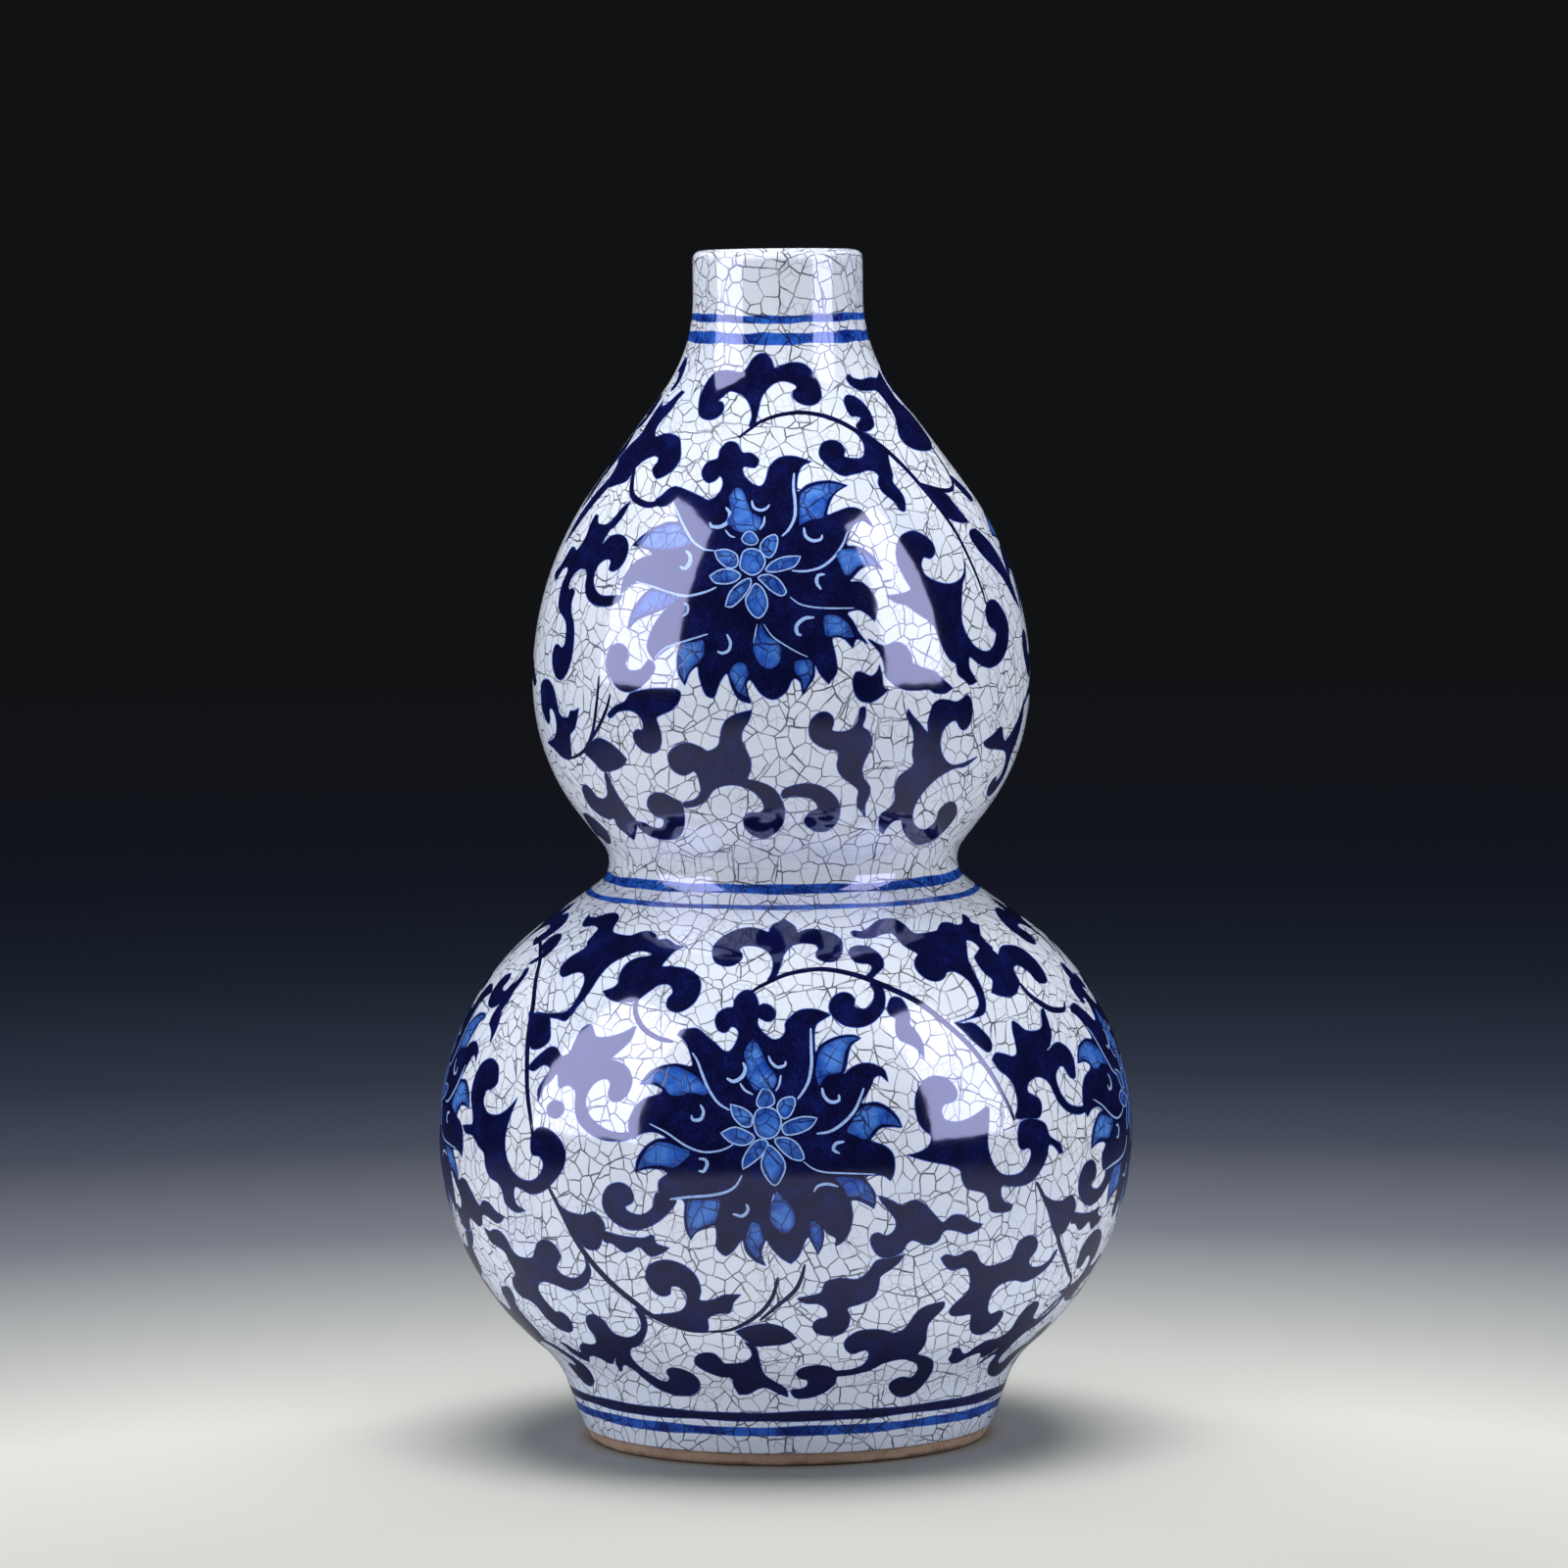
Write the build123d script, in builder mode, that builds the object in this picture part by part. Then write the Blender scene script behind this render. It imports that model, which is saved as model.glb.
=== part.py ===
"""Double gourd vase: thrown stoneware sections luted together with slip, then glazed inside and out.

Millimetres, +Z up, origin on the axis at the ground. The outside sizes are those of the finished,
glazed surface; the clay lies one coat of glaze inside it, and the hollow one wall and one more coat.
"""

import os
from math import acos, atan2, cos, radians, sin, sqrt

from build123d import *

# Finished outside: the radius of each ring, and its height as a share of the whole
height = 300.0
neck_radius = 21.35
upper_bulb_radius = 62.7
waist_radius = 43.9
lower_bulb_radius = 87.7
neck_throat_height = 0.9607 * height
upper_bulb_height = 0.6393 * height
waist_height = 0.4887 * height
lower_bulb_height = 0.2587 * height

# Hollow sweeps into the neck, the waist and the foot
neck_sweep_radius = 39.2
waist_sweep_radius = 7.1
foot_sweep_radius = 22.6

# How near each shoulder or belly comes to the fullest arc that its throat leaves room for
upper_shoulder_fullness = 0.923
upper_belly_fullness = 0.9617
lower_shoulder_fullness = 0.9587
lower_belly_fullness = 0.889  # of the widest ring's height

# Thicknesses
wall = 3.5
floor_thickness = 6.1
glaze = 0.5
slip = 0.8

# Foot
foot_radius = 0.577 * lower_bulb_radius
foot_flare = 20.2  # degrees from upright
foot_ring_width = 6.0
foot_edge_radius = 1.0
bare_band = 3.4  # height of unglazed clay above the ground
recess_lean = 4.0  # how far the recess draws in from the ground to its roof

# Slip squeezed out of each seam stands inside as a low ridge
ridge_radius = 1.6

gap_closed = 1e-4  # ends nearer than this already meet
overrun = 10.0  # how far a cutting band reaches past the vase

UP, OUT, DOWN = Vector(0, 1), Vector(1, 0), Vector(0, -1)


def bulb_centre(bulb_radius, ring_height, arc_radius):
    """Centre of the arc that is upright on the bulb's widest ring."""
    return Vector(bulb_radius - arc_radius, ring_height)


def fullest_arc(bulb_radius, throat_radius, rise, sweep_radius, fullness):
    """Radius of a bulb's arc, as a share of where it would run into the throat's sweep with no straight run."""
    step = bulb_radius - throat_radius
    limit = (rise**2 + step**2) / (2 * step)
    return fullness * limit - sweep_radius


def throat_centre(throat_radius, throat_height, sweep_radius):
    """Centre of the hollow sweep that is upright on a throat's narrowest ring."""
    return Vector(throat_radius + sweep_radius, throat_height)


def crossing_normal(bulb, bulb_arc, throat, throat_arc, side):
    """Outward normal of the straight run that leaves a bulb's arc and enters a throat's sweep."""
    reach = throat - bulb
    turn = side * acos((bulb_arc + throat_arc) / reach.length)
    angle = atan2(reach.Y, reach.X) + turn
    return Vector(cos(angle), sin(angle))


lower_belly_radius = lower_belly_fullness * lower_bulb_height
lower_shoulder_radius = fullest_arc(
    lower_bulb_radius,
    waist_radius,
    waist_height - lower_bulb_height,
    waist_sweep_radius,
    lower_shoulder_fullness,
)
upper_belly_radius = fullest_arc(
    upper_bulb_radius,
    waist_radius,
    upper_bulb_height - waist_height,
    waist_sweep_radius,
    upper_belly_fullness,
)
upper_shoulder_radius = fullest_arc(
    upper_bulb_radius,
    neck_radius,
    neck_throat_height - upper_bulb_height,
    neck_sweep_radius,
    upper_shoulder_fullness,
)

lower_belly = bulb_centre(lower_bulb_radius, lower_bulb_height, lower_belly_radius)
lower_shoulder = bulb_centre(lower_bulb_radius, lower_bulb_height, lower_shoulder_radius)
upper_belly = bulb_centre(upper_bulb_radius, upper_bulb_height, upper_belly_radius)
upper_shoulder = bulb_centre(upper_bulb_radius, upper_bulb_height, upper_shoulder_radius)
waist = throat_centre(waist_radius, waist_height, waist_sweep_radius)
neck = throat_centre(neck_radius, neck_throat_height, neck_sweep_radius)

# The foot's straight side leans out by its flare and meets the lower belly through a hollow sweep
foot_edge = Vector(foot_radius, 0)
foot_rise = Vector(sin(radians(foot_flare)), cos(radians(foot_flare)))
foot_normal = Vector(foot_rise.Y, -foot_rise.X)
sweep_start = foot_edge + foot_normal * foot_sweep_radius - lower_belly
along = sweep_start.dot(foot_rise)
beyond = sweep_start.dot(sweep_start) - (foot_sweep_radius + lower_belly_radius) ** 2
foot_sweep = lower_belly + sweep_start - foot_rise * (along + sqrt(along**2 - beyond))

belly_normal = (foot_sweep - lower_belly).normalized()
under_waist = crossing_normal(lower_shoulder, lower_shoulder_radius, waist, waist_sweep_radius, -1)
over_waist = crossing_normal(upper_belly, upper_belly_radius, waist, waist_sweep_radius, 1)
under_neck = crossing_normal(upper_shoulder, upper_shoulder_radius, neck, neck_sweep_radius, -1)


def along_run(point, normal, inset, level):
    """Point at a height on a straight run, which passes through a point of the outside and is then inset."""
    start = point - normal * inset
    rise = Vector(-normal.Y, normal.X)
    return start + rise * ((level - start.Y) / rise.Y)


# Each arc of the gourd: centre, radius (negative where hollow), outward normals at its low and high end
gourd = [
    (lower_shoulder, lower_shoulder_radius, OUT, under_waist),
    (waist, -waist_sweep_radius, under_waist, over_waist),
    (upper_belly, upper_belly_radius, over_waist, OUT),
    (upper_shoulder, upper_shoulder_radius, OUT, under_neck),
    (neck, -neck_sweep_radius, under_neck, OUT),
]
outside = [
    (foot_sweep, -foot_sweep_radius, foot_normal, belly_normal),
    (lower_belly, lower_belly_radius, belly_normal, OUT),
] + gourd
inside = [(lower_belly, lower_belly_radius, DOWN, OUT)] + gourd

# Inset of each surface from the finished outside
clay_face = glaze
clay_back = glaze + wall
hollow_face = clay_back + glaze

# The recess under the base leaves a floor of even thickness at the bottom of the bowl
recess_depth = lower_bulb_height - lower_belly_radius + clay_back - floor_thickness

# Seams lie on the widest and narrowest rings and half way up the straight run below the neck;
# each is named with the point where it comes out of the clay inside the vase
run_low = upper_shoulder + under_neck * upper_shoulder_radius
run_high = neck - under_neck * neck_sweep_radius
run_middle = (run_low.Y + run_high.Y) / 2
seams = {
    "lower_equator_slip": Vector(lower_bulb_radius - clay_back, lower_bulb_height),
    "waist_slip": Vector(waist_radius - clay_back, waist_height),
    "upper_equator_slip": Vector(upper_bulb_radius - clay_back, upper_bulb_height),
    "neck_slip": along_run(run_low, under_neck, clay_back, run_middle),
}

# The rim is a half round on the middle of the wall
rim_centre = Vector(neck_radius - clay_face - wall / 2, height - glaze - wall / 2)


def trace(arcs, inset):
    """Draws a run of arcs and the straight runs between them, inset from the outside; gives its two ends."""
    ends = []
    for centre, radius, low, high in arcs:
        reach = radius - inset
        start, end = centre + low * reach, centre + high * reach
        if ends and (start - ends[-1]).length > gap_closed:
            Line(ends[-1], start)
        ThreePointArc(start, centre + (low + high).normalized() * reach, end)
        ends += [start, end]
    return ends[0], ends[-1]


def trace_rim(radius):
    """Draws the half round of the rim; gives its outer and inner ends."""
    outer, inner = rim_centre + OUT * radius, rim_centre - OUT * radius
    ThreePointArc(outer, rim_centre + UP * radius, inner)
    return outer, inner


def foot_point(inset, level):
    """Point of the foot's straight side, inset from the outside, at a height above the ground."""
    return along_run(foot_edge, foot_normal, inset, level)


def recess_side():
    """The recess's side in half section: its point on the ground and its point on the roof."""
    ring_inner = foot_point(clay_face, 0) - OUT * foot_ring_width
    return ring_inner, ring_inner + Vector(-recess_lean, recess_depth)


def band_between(low, high):
    """Keeps only what the sketch holds between two heights."""
    width = lower_bulb_radius + overrun
    with Locations((width / 2, (low + high) / 2)):
        Rectangle(width, high - low, mode=Mode.INTERSECT)


def clay_outline(mode=Mode.ADD):
    """The whole fired clay in half section: foot, floor, walls and rim, with the seams' slip."""
    ring_outer = foot_point(clay_face, 0)
    ring_inner, recess_edge = recess_side()
    with BuildLine() as outline:
        foot_top, neck_foot = trace(outside, clay_face)
        Line(ring_outer, foot_top)
        rim_outer, rim_inner = trace_rim(wall / 2)
        Line(neck_foot, rim_outer)
        floor_edge, throat = trace(inside, clay_back)
        Line(throat, rim_inner)
        Polyline(
            floor_edge,
            (0, floor_edge.Y),
            (0, recess_depth),
            recess_edge,
            ring_inner,
            ring_outer,
        )
    make_face(outline.edges(), mode=mode)


def hollow_coat_outline():
    """The inner glaze in half section, from the rim down over the floor."""
    with BuildLine() as outline:
        back_floor, back_throat = trace(inside, clay_back)
        face_floor, face_throat = trace(inside, hollow_face)
        back_rim = Vector(back_throat.X, rim_centre.Y)
        face_rim = Vector(face_throat.X, rim_centre.Y)
        Polyline(back_throat, back_rim, face_rim, face_throat)
        Polyline(back_floor, (0, back_floor.Y), (0, face_floor.Y), face_floor)
    make_face(outline.edges())


def outer_coat_outline():
    """The outer glaze in half section, from the ground up over the rim."""
    with BuildLine() as outline:
        face_foot, face_throat = trace(outside, 0)
        face_rim, face_end = trace_rim(wall / 2 + glaze)
        back_foot, back_throat = trace(outside, clay_face)
        back_rim, back_end = trace_rim(wall / 2)
        Line(face_throat, face_rim)
        Line(face_end, back_end)
        Line(back_throat, back_rim)
        Polyline(back_foot, foot_point(clay_face, 0), foot_point(0, 0), face_foot)
    make_face(outline.edges())


# Stoneware sections, from the ground up
sections = ["base_bowl", "lower_dome", "upper_bowl", "upper_dome", "neck_collar"]
section_lows = [0] + [seam.Y + slip / 2 for seam in seams.values()]
section_highs = [seam.Y - slip / 2 for seam in seams.values()] + [height]

finished = []
for name, low, high in zip(sections, section_lows, section_highs):
    with BuildPart() as section:
        with BuildSketch(Plane.XZ):
            clay_outline()
            band_between(low, high)
        revolve(axis=Axis.Z)
        if name == sections[0]:
            ground = section.faces().sort_by(Axis.Z)[0]
            fillet(ground.edges(), radius=foot_edge_radius)
    section.part.label = name
    finished.append(section.part)

# Slip between the sections, with the ridge that it leaves inside
for name, seam in seams.items():
    with BuildPart() as luting:
        with BuildSketch(Plane.XZ):
            clay_outline()
            band_between(seam.Y - slip / 2, seam.Y + slip / 2)
        revolve(axis=Axis.Z)
        with BuildSketch(Plane.XZ):
            with Locations(seam):
                Circle(ridge_radius)
            clay_outline(mode=Mode.SUBTRACT)
        revolve(axis=Axis.Z)
    luting.part.label = name
    finished.append(luting.part)

# Inner glaze, from the rim down over the ridges and the floor
with BuildPart() as inner_glaze:
    with BuildSketch(Plane.XZ):
        hollow_coat_outline()
        with Locations(*seams.values()):
            Circle(ridge_radius + glaze)
            Circle(ridge_radius, mode=Mode.SUBTRACT)
        clay_outline(mode=Mode.SUBTRACT)
    revolve(axis=Axis.Z)
inner_glaze.part.label = "inner_glaze"
finished.append(inner_glaze.part)

# Outer glaze, wiped off the foot below the bare band
with BuildPart() as outer_glaze:
    with BuildSketch(Plane.XZ):
        outer_coat_outline()
        band_between(bare_band, height)
    revolve(axis=Axis.Z)
outer_glaze.part.label = "outer_glaze"
finished.append(outer_glaze.part)

# Base glaze, inside the foot ring, wiped to the same level
with BuildPart() as base_glaze:
    ring_foot, roof_edge = recess_side()
    wiped = ring_foot + (roof_edge - ring_foot) * (bare_band / recess_depth)
    with BuildSketch(Plane.XZ):
        with BuildLine():
            Polyline(
                (0, recess_depth),
                roof_edge,
                wiped,
                wiped - OUT * glaze,
                roof_edge - Vector(glaze, glaze),
                (0, recess_depth - glaze),
                close=True,
            )
        make_face()
    revolve(axis=Axis.Z)
base_glaze.part.label = "base_glaze"
finished.append(base_glaze.part)

os.makedirs("parts", exist_ok=True)
for piece in finished:
    export_step(piece, f"parts/{piece.label}.step")
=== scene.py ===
import math

import bpy
import numpy as np
from bpy.props import FloatProperty, FloatVectorProperty, IntProperty, PointerProperty
from mathutils import Matrix, Vector, geometry, kdtree


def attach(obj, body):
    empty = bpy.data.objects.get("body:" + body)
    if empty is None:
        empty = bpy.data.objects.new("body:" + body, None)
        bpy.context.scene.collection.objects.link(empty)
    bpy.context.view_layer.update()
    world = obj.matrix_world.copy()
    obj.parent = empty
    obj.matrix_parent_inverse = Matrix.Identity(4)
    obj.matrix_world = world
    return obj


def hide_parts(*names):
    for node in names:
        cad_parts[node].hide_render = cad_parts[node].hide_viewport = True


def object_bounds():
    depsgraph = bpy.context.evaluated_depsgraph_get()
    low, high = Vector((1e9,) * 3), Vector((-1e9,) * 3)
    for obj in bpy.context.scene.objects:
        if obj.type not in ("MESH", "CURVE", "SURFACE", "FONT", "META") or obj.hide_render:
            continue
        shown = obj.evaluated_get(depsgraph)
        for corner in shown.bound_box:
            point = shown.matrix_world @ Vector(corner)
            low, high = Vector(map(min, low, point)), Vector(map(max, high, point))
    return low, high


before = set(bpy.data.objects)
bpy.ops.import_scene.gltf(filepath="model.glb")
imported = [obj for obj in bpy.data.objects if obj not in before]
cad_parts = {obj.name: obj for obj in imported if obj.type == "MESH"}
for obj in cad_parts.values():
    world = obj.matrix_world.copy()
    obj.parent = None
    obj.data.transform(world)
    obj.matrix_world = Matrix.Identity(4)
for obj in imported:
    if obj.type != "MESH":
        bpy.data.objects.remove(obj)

bl_info = {
    "name": "Double Gourd Vase",
    "version": (1, 0, 0),
    "blender": (4, 5, 0),
    "location": "3D View > Sidebar > Gourd Vase",
    "description": "Dresses the thrown vase in painted, crackled glaze and sets up its studio",
    "category": "Object",
}

# Outline sizes are in units of 1/300 of the height, which are millimetres on the vase as packed
cad_low, cad_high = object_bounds()
HEIGHT = 300.0
MM = (cad_high.z - cad_low.z) / HEIGHT

NECK_RADIUS, NECK_LEVEL, NECK_SWEEP = 21.35, 0.9607 * HEIGHT, 39.2
UPPER_RADIUS, UPPER_LEVEL = 62.7, 0.6393 * HEIGHT
WAIST_RADIUS, WAIST_LEVEL, WAIST_SWEEP = 43.9, 0.4887 * HEIGHT, 7.1
LOWER_RADIUS, LOWER_LEVEL = 87.7, 0.2587 * HEIGHT
FOOT_RADIUS, FOOT_FLARE, FOOT_SWEEP = 0.577 * LOWER_RADIUS, math.radians(20.2), 22.6
UPPER_SHOULDER_FULLNESS = 0.923
UPPER_BELLY_FULLNESS = 0.9617
LOWER_SHOULDER_FULLNESS = 0.9587
LOWER_BELLY_FULLNESS = 0.889
WALL, GLAZE, BARE_BAND = 3.5, 0.5, 3.4

# The painting, unrolled: "angle,height" points in degrees round from the front and in millimetres up
# the surface from the bulb's widest ring. "!" marks a sharp corner, ";" parts the shapes, and a shape
# that begins with "width:" is a single brush line.
UPPER_FLOWER = """
-33.2,54.8! -29,53.6 -25,52.3 -21.3,51.1 -18.7,53.3 -18.2,56.3 -19.7,58.1 -21,56.8 -23.7,56.2 -26.6,59
-25.7,62.2 -22.2,63.4 -22.2,66 -19.7,68.3 -16,67.8 -13.5,65.2 -10.2,65 -7.2,63 -8.2,60.7 -12.2,60.9
-11.8,58.7 -9,56.2 -6,55.2 -4.5,57 -3.3,61 0,63.6 5,64 11.2,62.3! 7.8,61 5.9,58 5.5,53.5 8.5,55.4
12.5,56.4 17,56.4 21.7,55! 18,53.4 15.3,50.8 13.4,46.8 16,47.4 20.5,48.6 24,47.6 26.2,43.2! 23.5,44.8
20.8,43.8 18.6,41 17.6,38.3 20.5,37.8 23.8,35.6 26.3,31.5! 23.5,32.7 20.5,32 18.2,30 17.2,28.8 20,28.6
22.4,26 23.4,22.5 22.3,18.6! 20.7,20.3 18.6,21.6 15.8,20.9 17,18.8 18.2,16 20.3,13! 17.6,14.4 16.5,12.2!
14.3,14.7 11.8,14.8 12.4,10.5 12.6,6.5 10.6,3.6! 8.7,6 7.6,8.3 7.4,5.5 4.7,1! 4.2,4.2 2.6,5 1,1.8 -1.8,0
-4.6,1.4 -7,4.8 -8,3 -6.8,-1! -9.5,0 -11.2,3 -12.3,6.3 -14,4 -15.3,0.5 -17.3,1.2 -18.8,5.5 -19.3,8
-21,6.5 -22.2,3.3! -24,6.5 -24.3,10.5 -23.4,14 -27,12 -30.3,9.3! -32.2,12.5 -31,17.5 -28.5,21.5
-26.5,23.3 -31.5,20.8 -35.3,19.3 -38.2,16.6! -37.6,21 -35.3,25 -33,27.5 -37,28.3 -40,27.5 -42,25.2!
-42.2,29 -40.8,32.3 -38.3,34.6 -35,35.8 -36.5,37 -39,37.5 -42.2,38! -40.3,40.3 -36.8,42.9 -33,44.6
-29.5,45 -31.5,48 -33,51 ;
-10.2,73 -9.3,77 -8.5,81 -7,83 -3.5,85.2 1,86.2 5,86 8.3,85.2 9.3,84.3 7,83 6.8,81.5 9,80 13,79 17,79.3
20.5,81 21.6,83.5 20.5,87 18,89.5 14,91 8,91.3 2,90.6 -1.5,89.8 -2.5,90 -4,92 -7,93.5 -10,93.8 -13,93.3
-16,92 -18,90 -21,88.7 -26,89 -31,89.2 -36,88.9 -39,88 -41.5,85.5 -41.8,82 -40,79 -37.5,76.3 -34,75
-30,74.8 -27,75.8 -25.6,77.5 -26.3,79.3 -28,80.2 -29.8,80.5 -28,81.8 -25.5,83.3 -21.5,83 -17.5,82
-15,80.5 -13,78.5 -11.8,76 -12.3,73 ;
31.8,78 32.2,80.2 35,81.7 39,81.3 42.5,79.5 44,76.5 43,73 40.5,71.5 37.5,70.8 34.5,70.8 33.2,72.5
36.5,74.2 37,75 35,75.3 32.5,75.6 ;
34.5,70.8 38,69.5 41.5,66.5 42.5,64.5 41.5,62.5 40.5,60 39.8,57.5 38.5,55.5 39.5,53 40,51 39.3,48.5
38,46.8 36.5,47.5 36,49.5 34.5,51 32.8,53 32.7,55.5 34,57.5 33,58.8 30.5,59.2 27,58.5 24.5,58.2
21.5,57.8 19,58.8 16.5,61 14.5,63.5 14.6,65.5 16.5,67.7 20,68.5 23.5,67.6 24.6,65.5 23.5,63.6 27,62.9
30,63 32,64.5 33.2,67 32.5,69.5 31.3,71 ;
20.3,14.3 23,12.8 24.8,12.5 27,13.3 29.5,12.3 31,9.8 31.2,7.8 34,6.6 37,5.5 40,3 42.3,1.2! 40,0 36.8,0.3
35.5,1.2 32,1.2 29,1.5 26,3 24.2,5 23.8,8 22.8,11 ;
16.2,4 17,6.3 18.5,6.2 20.5,5.2 22,6.2 22.7,8! 23.3,5 23.5,2.5 24.8,1.8! 23,0.2 20.5,-1.2 18,-0.8
16.6,1.2 ;
-43.5,-4.8 -41,-2.5 -38,-1.2 -36.5,0.8 -34,1.6 -30,2.3 -25,2.4 -23.3,1.6 -23.6,-0.5 -25.5,-2.8 -28,-4
-29.5,-5 -29,-7 -28.6,-10 -29.5,-12.8 -31.5,-14 -34,-13.5 -36,-11.3 -36.2,-9 -34.8,-8 -33.5,-8.2
-33.2,-6.5 -34.2,-4.5 -36.5,-3.4 -40,-3.8 -42.5,-5.5 ;
-43.5,10.5 -42.5,12.3 -40,13 -38,12 -37.3,10 -38,8 -36.5,6.5 -33.5,7 -31.5,9.3 -29.8,7.5 -31.5,4.5
-34,2.3 -37,1.2 -40,2 -42.5,4.8 -43.8,7.8 ;
-6.7,-2.6! -10,-3.5 -12.5,-5 -13.8,-7.5 -14.2,-10 -15,-11.8 -17.3,-13 -19,-12 -22,-11 -25,-11.8
-27.2,-13.8 -27.6,-16 -26.8,-18.3 -24.5,-19.6 -22.5,-19 -21.5,-18.4 -20.8,-19 -20.3,-21.5 -20.5,-24
-22.5,-26.3 -26,-27.5 -26,-28.8 -22.5,-28.3 -19.5,-26.5 -17,-23.5 -14.5,-22.3 -11.5,-22 -8.5,-23 -6,-25
-4.8,-27.5 -4.8,-29 -6,-30 -8,-30 -9.5,-30.6 -10.5,-33 -9.8,-36 -7.5,-38 -5,-38.4 -2,-36.5 0,-33.5
0.5,-30 0,-27 -1.5,-23.8 -3.5,-22 -6.5,-20.8 -8.3,-20.3 -7.5,-18 -7.3,-15.5 -8.3,-12.5 -9.2,-10
-8.8,-7.5 -7.3,-5 ;
0,-23.6 2.6,-22.2 5.9,-21.7 9.1,-22.4 12.4,-24.7 14.5,-27.9 15,-31.5 14,-34.7 11.7,-36.4 9.4,-36.3
7.2,-35.1 5.7,-32.9 6.5,-30.8 7.8,-29.6 9,-29 8.6,-27.6 7.2,-26.1 4.6,-25.4 1.9,-25.3 0.1,-25.8 ;
6.1,-7.6 6.5,-5.4 8.1,-3.6 10.1,-3.3 11.6,-4.7 11.7,-6.5 11.4,-7.9 13.7,-8.3 16,-7.6 17.3,-5.8 17.9,-2.6
19.1,-2.4 19.1,-5.1 18.6,-7.2 20.2,-8.6 21.1,-11.1 20.5,-13.6 19.6,-16.1 19.2,-18.6 20.2,-21.1
21.9,-23.3 22,-26.1 21.5,-28.3 22.3,-32.2! 21.2,-30.8 19.6,-29 19,-26.5 18.9,-24 17,-22.2 14.7,-20.4
13.4,-18.6 12.9,-16.5 13.2,-14.4 12.4,-12.9 10.4,-12.7 8.1,-11.5 6.5,-9.7
"""
UPPER_FLOWER_LINES = """
1.35: -16,69.5 -12,72 -8,74.2 0,76.2 10,76.9 20,75.7 27,73.6 32,71.2 36,69 41,66 45,62 48,57.5 50.5,52
53,46 55,40 56.5,32 57.7,25 58,21
"""
UPPER_WASH = """
-15.3,52.5 -13.5,54.7 -11.2,53.6 -9.5,50.3 -8,47.6 -5.5,46.2 -5.2,44.5 -6,42.6 -8.2,42.7 -10.6,42.1
-13.3,43.4 -14.9,45.3 -13.9,47.5 -14.8,50 ;
5.3,43.8! 5.5,47 5.8,50.5 6.5,52.8 9,54.5 13,55.6 17,55.7 20.3,54.9! 17,53.2 14.6,51 13,48 12,46 9,45.5
6.5,44.5 ;
14.5,36.3 17.5,37.3 20.5,36.9 23.3,34.8 25.5,32! 23,33.2 20,32.7 17.8,31 16.3,30.3 15.2,33 ;
10.3,20.3 13.2,20.3 15.7,18.2 17,15! 15,14.9 13,15.5 10.6,15.3 10,17.5 ;
3,9 5,9.6 6.8,9.3 7,6.5 6,4 4.9,2! 4.6,4.8 3.2,6.5 ;
-11.7,6.5 -10.3,8.8 -8.3,8.7 -7.5,6.3 -8.2,4 -7.6,0.7! -9.8,2 -11,4.5 ;
-23.3,13.3 -20,14 -18,14.3 -17.9,10.8 -19.3,8.7 -21.2,7 -22.4,4.3! -23.6,7 -23.9,10.5 ;
-37.8,17.6! -37,21 -34.8,24.7 -32,26.8 -28,26 -25,25 -26.5,23.6 -29.5,22 -32,21.2 -35.5,20 ;
-41.3,38.5! -39.5,40.3 -36.5,42.3 -32.5,43.9 -29,43.8 -26.5,41.8 -24,39 -27,38 -31,37.3 -35,37.4
-38.5,38 ;
-4.7,18.5! -6,15 -6.3,12 -5,9 -3,7.5 -0.8,8.5 0,11.3 -0.5,13.8 -3,15.5
"""
UPPER_ROSETTE = """
-10,33 -9.5,36.5 -8,37.5 -5.5,37 -4,34.5 -5,32 -7,31 -9,32 ;
-10,40.2 -9,42 -7.5,42 -6,40 -6.8,39 -8.5,39 ;
-5,37.5 -4.2,40 -1.5,41.3 -0.8,40 -1.5,37 -3,35.5 ;
-3.5,32.2 -2,34 1,35.3 5,35.5! 3.5,33.2 0,32 -2.5,31.8 ;
-5.3,30.2 -3,30.8 -0.5,29.5 1.2,26.5 0,25.7 -2.5,27.2 -4,28.8 ;
-6,28.5 -4,26.5 -3.3,23 -5,20.2 -7,21.5 -8.2,24.5 -7.2,26.5 ;
-7.5,29.8 -9.5,29 -12,26.5 -13,23! -11.5,23 -9,25.5 -7.5,28 ;
-10,30.8 -12,32 -15,32 -17.5,30.5! -16,29 -13,28.8 -11,29.5 ;
-11,33.5 -11.3,36 -14,37.3 -17,37! -15.8,34.8 -13.5,33 -12,32.8
"""
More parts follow.
